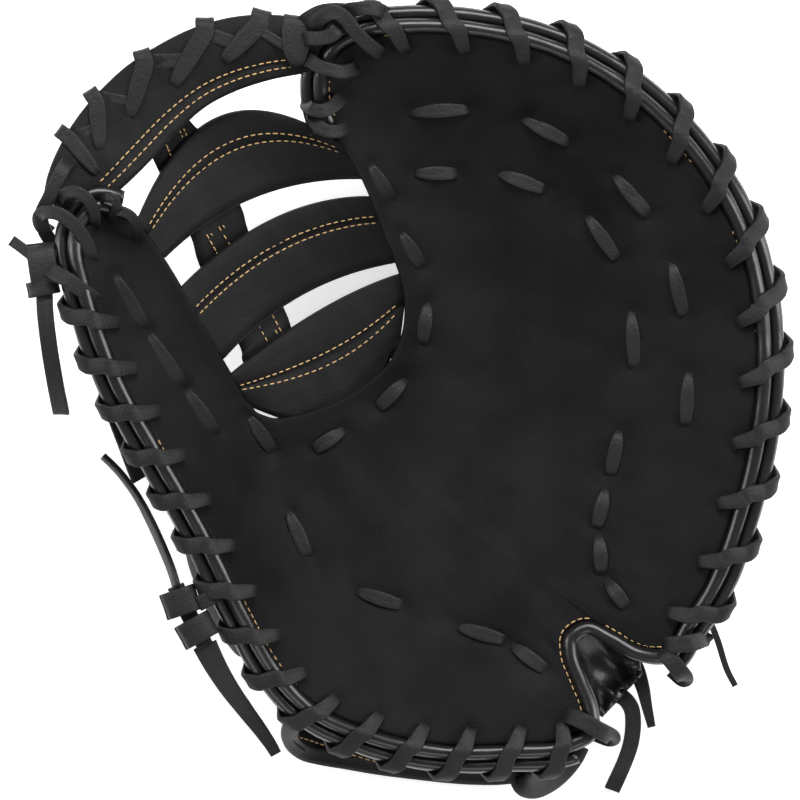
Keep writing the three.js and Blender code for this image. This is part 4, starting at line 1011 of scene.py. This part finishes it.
# Wrist strap: a band of back leather, hung in a shallow curve under the heel, for the wrist.
# Both of its ends reach up to the rim.
STRAP = [
    # x, z, then y of the low and the high edge, in shares of the size. None: the strap's top
    (-0.178, None, -0.385, -0.33), (-0.196, 0.3, -0.47, -0.35), (-0.16, 0.08, -0.505, -0.37),
    (-0.085, 0, -0.525, -0.38), (0.075, 0, -0.534, -0.38), (0.165, 0.07, -0.53, -0.37),
    (0.212, 0.26, -0.505, -0.36), (0.19, None, -0.41, -0.34),
]
STRAP_THICK = 3
STRAP_WIDTH = 30
HEM = 1.5  # how far the padded hem stands out below the model's edge
strap_top = (np.array(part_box("wrist_strap")[1]) * 1000 - MIDDLE)[2] - STRAP_THICK
strap_line = [curve(range(len(STRAP)), values) for values in (
    column(STRAP, 0, MITT_WIDTH),
    [strap_top if row[1] is None else row[1] * MITT_HEIGHT for row in STRAP],
    [y - HEM for y in column(STRAP, 2, MITT_LENGTH)], column(STRAP, 3, MITT_LENGTH))]
place = np.linspace(0, len(STRAP) - 1, 150)
strap_x, strap_z, strap_edge_low, strap_edge_high = (line(place) for line in strap_line)
slope = unit(np.stack([strap_line[0](place + 0.02) - strap_line[0](place - 0.02),
                       strap_line[1](place + 0.02) - strap_line[1](place - 0.02)], 1))
strap_z = np.maximum(strap_z, 0)
widths_across = np.linspace(0, 1, 12)


def strap_row(inward):
    """Points of the strap's inner or outer face, with rounded edges."""
    from_edge = np.minimum(widths_across, 1 - widths_across) * STRAP_WIDTH
    bulge = edge_round(from_edge, 1.4) * (1 if inward else -1)
    depth = (STRAP_THICK if inward else 0) - bulge
    x = strap_x[:, None] - slope[:, 1:2] * depth
    z = strap_z[:, None] + slope[:, 0:1] * depth
    y = strap_edge_low[:, None] + (strap_edge_high - strap_edge_low)[:, None] * widths_across
    return np.stack([x, y, z], -1)


strap_rows = np.concatenate([strap_row(False), strap_row(True)[:, ::-1]], 1)
strap = show("wrist_strap_leather", [strap_rows], back_hide, "strip")
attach(strap, "root")
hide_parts("wrist_strap")

# Hem: the strap's padded edge, which turns up to the rim at the thumb side. At the other side a
# folded tab of the same leather comes down from the rim.
HEM_ROUTE = [
    (519, 781, 7), (495, 783, 4), (460, 782, 3.2), (420, 778, 3.2), (380, 773, 3.2), (345, 767, 4),
    (318, 762, 7), (300, 756, 12), (290, 745, 20), (289, 733, 29), (295, 720, 37), (304, 710, 42),
]
TAB_ROUTE = [
    (578, 748, 40), (572, 760, 38), (562, 773, 33), (550, 784, 26), (537, 791, 18), (527, 790, 11),
    (524, 783, 7),
]
# The hem and the tab are smoother and glossier than the strap. Their colour is also painted lighter grey
# than the strap's, as a painted highlight along the rolled edge.
hem_hide_painted_highlight = leather("smooth_hem_leather_painted_highlight", "#262628", "#323234", 0.46, 1.0, 0.08, 0.36)
hem = show("strap_hem_leather", [laid(HEM_ROUTE, width=6.4, thick=5.0)], hem_hide_painted_highlight, "round")
tab = show("strap_tab_leather", [laid(TAB_ROUTE, width=9.5, thick=2.6)], hem_hide_painted_highlight, "round")
for trim in (hem, tab):
    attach(trim, "root")

# Notch lacing: short crossings of lace at both corners of the heel notch, and the two short
# ends of lace that hang out beside them.
NOTCH_TIES = [
    [(566, 716, 44), (572, 718, 49), (586, 724, 52.5), (600, 732, 52), (611, 738, 47), (614, 741, 40),
     (609, 741, 33), (598, 737, 29)],
    [(666, 646, 50), (670, 646, 54.5), (684, 645, 57.5), (696, 643, 57), (705, 640, 52), (707, 640, 45),
     (702, 641, 38), (692, 643, 34)],
    [(664, 650, 50), (668, 656, 54.5), (676, 666, 55), (684, 676, 52), (687, 681, 46), (684, 680, 38),
     (676, 673, 34)],
]
SHORT_ENDS = [
    # route, width at the start and at the end: the two short ends outside the heel
    ([(636, 668, 19), (641, 677, 21), (646, 692, 22), (650, 710, 20), (655, 731, 17)], 7, 3),
    ([(713, 624, 38), (717, 633, 35), (722, 646, 32), (730, 671, 29), (739, 689, 28)], 2.4, 2.2),
]
NOTCH_TIE_WIDTH = 6.2
tie_bodies = [laid(tie, NOTCH_TIE_WIDTH) for tie in NOTCH_TIES]
tie_bodies += [laid(route, np.linspace(first, last, 5)) for route, first, last in SHORT_ENDS]
notch_ties = show("notch_ties_rawhide", tie_bodies, rawhide, "round")
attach(notch_ties, "root")

# Strap end: the end of the thumb strap, which lies behind the rim and shows a little beside it.
end_steps = np.linspace(KNOT_OF["thumb middle"] - 10, KNOT_OF["thumb high"] + 6, 40)
here, outward, _ = rim(end_steps)
REAR_LEAN = 0.4  # lean of a turn of lace behind the rim, as in the model
rear_reach = 1.24 * (edge_inset + LACE_THICK / 2)
end_drop = rear_drop + rear_reach + LACE_WIDTH / 2 * sin(REAR_LEAN) + LACE_THICK + 2 * GAP
END_INSET = 3.5
END_WIDTH = 9.7  # at its lower end
END_NARROW = 3.5  # at its upper end
end_rows = []
for share, depth in two_faces(widths_across, STRAP_THICK):
    line = here + outward * (END_INSET + np.linspace(END_WIDTH, END_NARROW, 40)[:, None] * share)
    rounded = edge_round(min(share, 1 - share) * END_WIDTH, 1.2)
    line[:, 2] -= end_drop + depth + (rounded if depth == 0 else -rounded)
    end_rows.append(line)
strap_end = show("thumb_strap_end_leather", [np.stack(end_rows, 1)], back_hide, "strip")
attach(strap_end, "root")
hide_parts("thumb_strap_end")

# Notch gusset: the glossy lining folded down inside the heel notch. It hangs from the roll and
# wrinkles towards its lower edge.
steps = np.linspace(KNOT_OF["notch right in"], KNOT_OF["heel corner"], 60)
here, outward, _ = rim(steps)
share = np.linspace(1, 0, 60)[:, None]
MEET_LEFT = np.array([66.5, -119, 22])  # the two ends of the lining's lower edge
MEET_RIGHT = np.array([81, -103.2, 25])
GUSSET_DIP = 9
GUSSET_FOLD = 1.6
GUSSET_THICK = 2
meet = MEET_LEFT + share * (MEET_RIGHT - MEET_LEFT)
edge = here - outward
edge[:, 2] -= ROLL_RADIUS + GAP
gusset_rows = []
for f, depth in two_faces(np.linspace(0, 1, 9), GUSSET_THICK):
    line = edge + (meet - edge) * f
    line[:, 2] -= depth + GUSSET_DIP * sin(pi * f) ** 0.8 + GUSSET_FOLD * f * np.sin(4 * pi * share[:, 0])
    gusset_rows.append(line)
gusset = show("notch_gusset_lining", [np.stack(gusset_rows, 1)], binding, "strip")
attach(gusset, "root")
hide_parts("notch_gusset")

# Stitching: waxed tan thread, two rows along each web bar's groove, short double rows on the
# strap behind the bars, single rows beside the rim and one row along the wrist strap. Each
# stitch is a short bead that dips at both ends.
STITCH_LENGTH = 2.0
STITCH_PITCH = 2.65
STITCH_THICK = 0.48
STITCH_LIFT = 0.15  # how far the beads stand over the leather
thread = bpy.data.materials.new("waxed_tan_thread")
thread.use_nodes = True
thread_shader = thread.node_tree.nodes["Principled BSDF"]
thread_shader.inputs["Base Color"].default_value = linear("#d3ae78")
thread_shader.inputs["Roughness"].default_value = 0.6


def stitch_mesh():
    """One stitch along X: a bead with its ends pulled down into the leather."""
    along = np.linspace(-1, 1, 9)
    turn = np.arange(8) / 8 * 2 * pi
    girth = STITCH_THICK / 2 * np.sqrt(np.clip(1 - along ** 4, 0.06, 1))
    x = np.repeat(along * STITCH_LENGTH / 2, 8)
    y = np.outer(girth, np.cos(turn)).ravel()
    z = (np.outer(girth, np.sin(turn)) - 0.35 * along[:, None] ** 4).ravel()
    verts = np.stack([x, y, z], 1) / 1000
    faces = [(i * 8 + j, i * 8 + (j + 1) % 8, (i + 1) * 8 + (j + 1) % 8, (i + 1) * 8 + j)
             for i in range(8) for j in range(8)]
    faces += [tuple(range(7, -1, -1)), tuple(range(64, 72))]
    mesh = bpy.data.meshes.new("stitch")
    mesh.from_pydata(verts.tolist(), [], faces)
    mesh.shade_smooth()
    return bpy.data.objects.new("stitch", mesh)


stitch = stitch_mesh()
sewing = bpy.data.node_groups.new("sewing", "GeometryNodeTree")
sewing.interface.new_socket("Line", in_out="INPUT", socket_type="NodeSocketGeometry")
sewing.interface.new_socket("Pitch", in_out="INPUT", socket_type="NodeSocketFloat")
sewing.interface.new_socket("Stitches", in_out="OUTPUT", socket_type="NodeSocketGeometry")
asked = add(sewing, "NodeGroupInput")
even = add(sewing, "GeometryNodeResampleCurve", {
    "Curve": asked.outputs["Line"], "Length": asked.outputs["Pitch"]}, mode="LENGTH")
bead = add(sewing, "GeometryNodeObjectInfo", {"Object": stitch})
heading = add(sewing, "GeometryNodeInputTangent")
turned = add(sewing, "FunctionNodeAlignRotationToVector", {
    "Vector": heading.outputs["Tangent"]}, axis="X")
sewn = add(sewing, "GeometryNodeInstanceOnPoints", {
    "Points": even.outputs["Curve"], "Instance": bead.outputs["Geometry"],
    "Rotation": turned.outputs["Rotation"]})
real = add(sewing, "GeometryNodeRealizeInstances", {"Geometry": sewn.outputs["Instances"]})
dyed = add(sewing, "GeometryNodeSetMaterial", {
    "Geometry": real.outputs["Geometry"], "Material": thread})
result = add(sewing, "NodeGroupOutput")
sewing.links.new(dyed.outputs["Geometry"], result.inputs["Stitches"])
PITCH_SOCKET = next(item.identifier for item in sewing.interface.items_tree if item.name == "Pitch")


def sew(name, lines):
    """Rows of stitches along lines of points in millimetres, as one piece."""
    seam = bpy.data.curves.new(name, "CURVE")
    seam.dimensions = "3D"
    for line in lines:
        spline = seam.splines.new("POLY")
        spline.points.add(len(line) - 1)
        spots = np.column_stack([placed(line), np.ones(len(line))])
        spline.points.foreach_set("co", spots.ravel())
    guide = bpy.data.objects.new(name, seam)
    bpy.context.collection.objects.link(guide)
    needle = guide.modifiers.new("sewing", "NODES")
    needle.node_group = sewing
    needle[PITCH_SOCKET] = STITCH_PITCH / 1000
    evaluated = guide.evaluated_get(bpy.context.evaluated_depsgraph_get())
    mesh = bpy.data.meshes.new_from_object(evaluated)
    bpy.data.objects.remove(guide)
    seam_piece = bpy.data.objects.new(f"{name}_stitches", mesh)
    bpy.context.collection.objects.link(seam_piece)
    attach(seam_piece, "root")
    return seam_piece


def bar_line(name, f, first, last):
    """A line on a bar's face: at share f across it, between two shares of its length."""
    upper, lower, groove = bar_edges[name]
    count = len(upper)
    line = upper + (lower - upper) * f
    line[:, 2] += STITCH_LIFT - float(bar_profile(np.array(f), groove))
    return line[int(first * count):int(last * count)]


bar_seams = {
    # name: shares across of its two rows of stitches, from, to
    "web_top_bar": ((0.74, 0.86), 0.17, 0.98),
    "web_bar_2": ((0.32, 0.42), 0.07, 0.94),
    "web_bar_3": ((0.31, 0.4), 0.07, 0.94),
    "web_bar_4": ((0.37, 0.48), 0.07, 0.94),
}
for name, (shares, first, last) in bar_seams.items():
    sew(name, [bar_line(name, f, first, last) for f in shares])


def rim_line(first, last, inset):
    """A line on the palm beside the rim."""
    t = np.linspace(first, last, int((last - first) / 2))
    v = section_share(t, -edge_inset - inset, -edge_inset)
    spots = plan(t, v, -edge_inset)
    rise = relief(spots) * np.clip(inset / 4, 0, 1)
    height = palm_top(t, v) + rise - edge_round(np.array(inset), 1.4) + 0.2
    return np.column_stack([spots, height])


def rim_place(x, y):
    """The place along the rim nearest to a pixel of the picture."""
    t = np.arange(0, RIM_END, 1.0)
    spots, _, _ = rim(t)
    return t[np.argmin(((spots[:, :2] - in_plan(x, y)) ** 2).sum(1))]


# Where the seam shows beside the roll, in pixels of the picture: from, to
RIM_SEAMS = [
    (325, 118, 318, 80), (388, 42, 402, 38), (668, 128, 692, 158), (735, 232, 742, 250),
    (758, 305, 762, 330),
    (712, 592, 684, 640), (664, 662, 592, 712), (566, 742, 536, 750), (448, 752, 400, 746),
    (330, 705, 296, 684), (282, 676, 262, 648), (252, 634, 232, 594), (170, 455, 162, 440),
]
NOTCH_SEAM_INSET = 0.9  # further in, clear of the notch's binding
rim_seams = []
for x0, y0, x1, y1 in RIM_SEAMS:
    first, last = sorted((rim_place(x0, y0), rim_place(x1, y1)))
    at_notch = FINGERS_END - 5 < (first + last) / 2 < HEEL_START + 5
    rim_seams.append(rim_line(first, last, NOTCH_SEAM_INSET if at_notch else 0.0))
sew("rim_seam", rim_seams)
POST_SEAMS = [
    # pairs of short rows where the post shows between the bars, in pixels
    (165, 141, 172, 160), (169, 139, 176, 158), (178, 127, 186, 146), (182, 125, 190, 144),
    (207, 236, 217, 254), (211, 234, 221, 252), (219, 228, 229, 244), (223, 226, 233, 242),
    (254, 328, 261, 341), (258, 326, 265, 339), (268, 318, 275, 331), (272, 316, 279, 329),
]
post_top = np.stack(post_rows[:5], 1)
post_seams = []
for ends in np.array(POST_SEAMS, float).reshape(-1, 2, 2):
    spots = ends[0] + (ends[1] - ends[0]) * np.linspace(0, 1, 8)[:, None]
    spots = (spots - PICTURE_MIDDLE) * (PIXEL, -PIXEL)
    post_seams.append([(x, y, height_over(post_top, x, y) + STITCH_LIFT) for x, y in spots])
sew("web_post", post_seams)
STRAP_SEAM = [(300, 742, 22), (325, 751, 14), (350, 760, 10), (378, 768, 8.4), (410, 773, 7.6),
              (450, 776, 7.4), (490, 777, 7.4), (522, 776, 9)]
strap_seam = smooth_line([(*in_plan(x, y), z) for x, y, z in STRAP_SEAM], 1)
sew("wrist_strap", [strap_seam])

# Floor: a plain pale sheet, wide enough to fill the background from every side.
floor_paint = bpy.data.materials.new("pale_floor")
floor_paint.use_nodes = True
floor_shader = floor_paint.node_tree.nodes["Principled BSDF"]
floor_shader.inputs["Base Color"].default_value = linear("#f7f7f7")
floor_shader.inputs["Roughness"].default_value = 0.9
floor_shader.inputs["Specular IOR Level"].default_value = 0.1
floor_shader.inputs["Emission Color"].default_value = linear("#ffffff")
floor_shader.inputs["Emission Strength"].default_value = 0.62
FLOOR_HALF = 6
floor_mesh = bpy.data.meshes.new("floor")
floor_mesh.from_pydata([(-FLOOR_HALF, -FLOOR_HALF, 0), (FLOOR_HALF, -FLOOR_HALF, 0),
                        (FLOOR_HALF, FLOOR_HALF, 0), (-FLOOR_HALF, FLOOR_HALF, 0)], [], [(0, 1, 2, 3)])
floor_mesh.materials.append(floor_paint)
floor = bpy.data.objects.new("floor", floor_mesh)
bpy.context.collection.objects.link(floor)

# Studio light: a large soft box above the finger tips, one on each side that draws a long
# highlight down the rolls, a weak one below the heel, and an even white surround.
LIT_PLACE = (0, 0, 0.05)


def soft_box(name, place, width, height, power):
    data = bpy.data.lights.new(name, "AREA")
    data.shape = "RECTANGLE"
    data.size = width
    data.size_y = height
    data.energy = power
    lamp = bpy.data.objects.new(name, data)
    lamp.location = place
    lamp.rotation_euler = (Vector(LIT_PLACE) - Vector(place)).to_track_quat("-Z", "Y").to_euler()
    bpy.context.collection.objects.link(lamp)


soft_box("top_light", (0.1, 0.75, 0.95), 0.9, 0.5, 12.5)
soft_box("left_light", (-0.95, 0.1, 0.6), 0.4, 0.9, 5)
soft_box("right_light", (0.95, 0.1, 0.6), 0.4, 0.9, 7)
soft_box("heel_light", (0.0, -0.9, 0.7), 1.0, 0.4, 2.5)
world = bpy.data.worlds.new("white_surround")
bpy.context.scene.world = world
world.use_nodes = True
world.node_tree.nodes["Background"].inputs["Color"].default_value = linear("#ffffff")
world.node_tree.nodes["Background"].inputs["Strength"].default_value = 0.21
bpy.context.scene.view_settings.view_transform = "Standard"
bpy.context.scene.view_settings.look = "None"
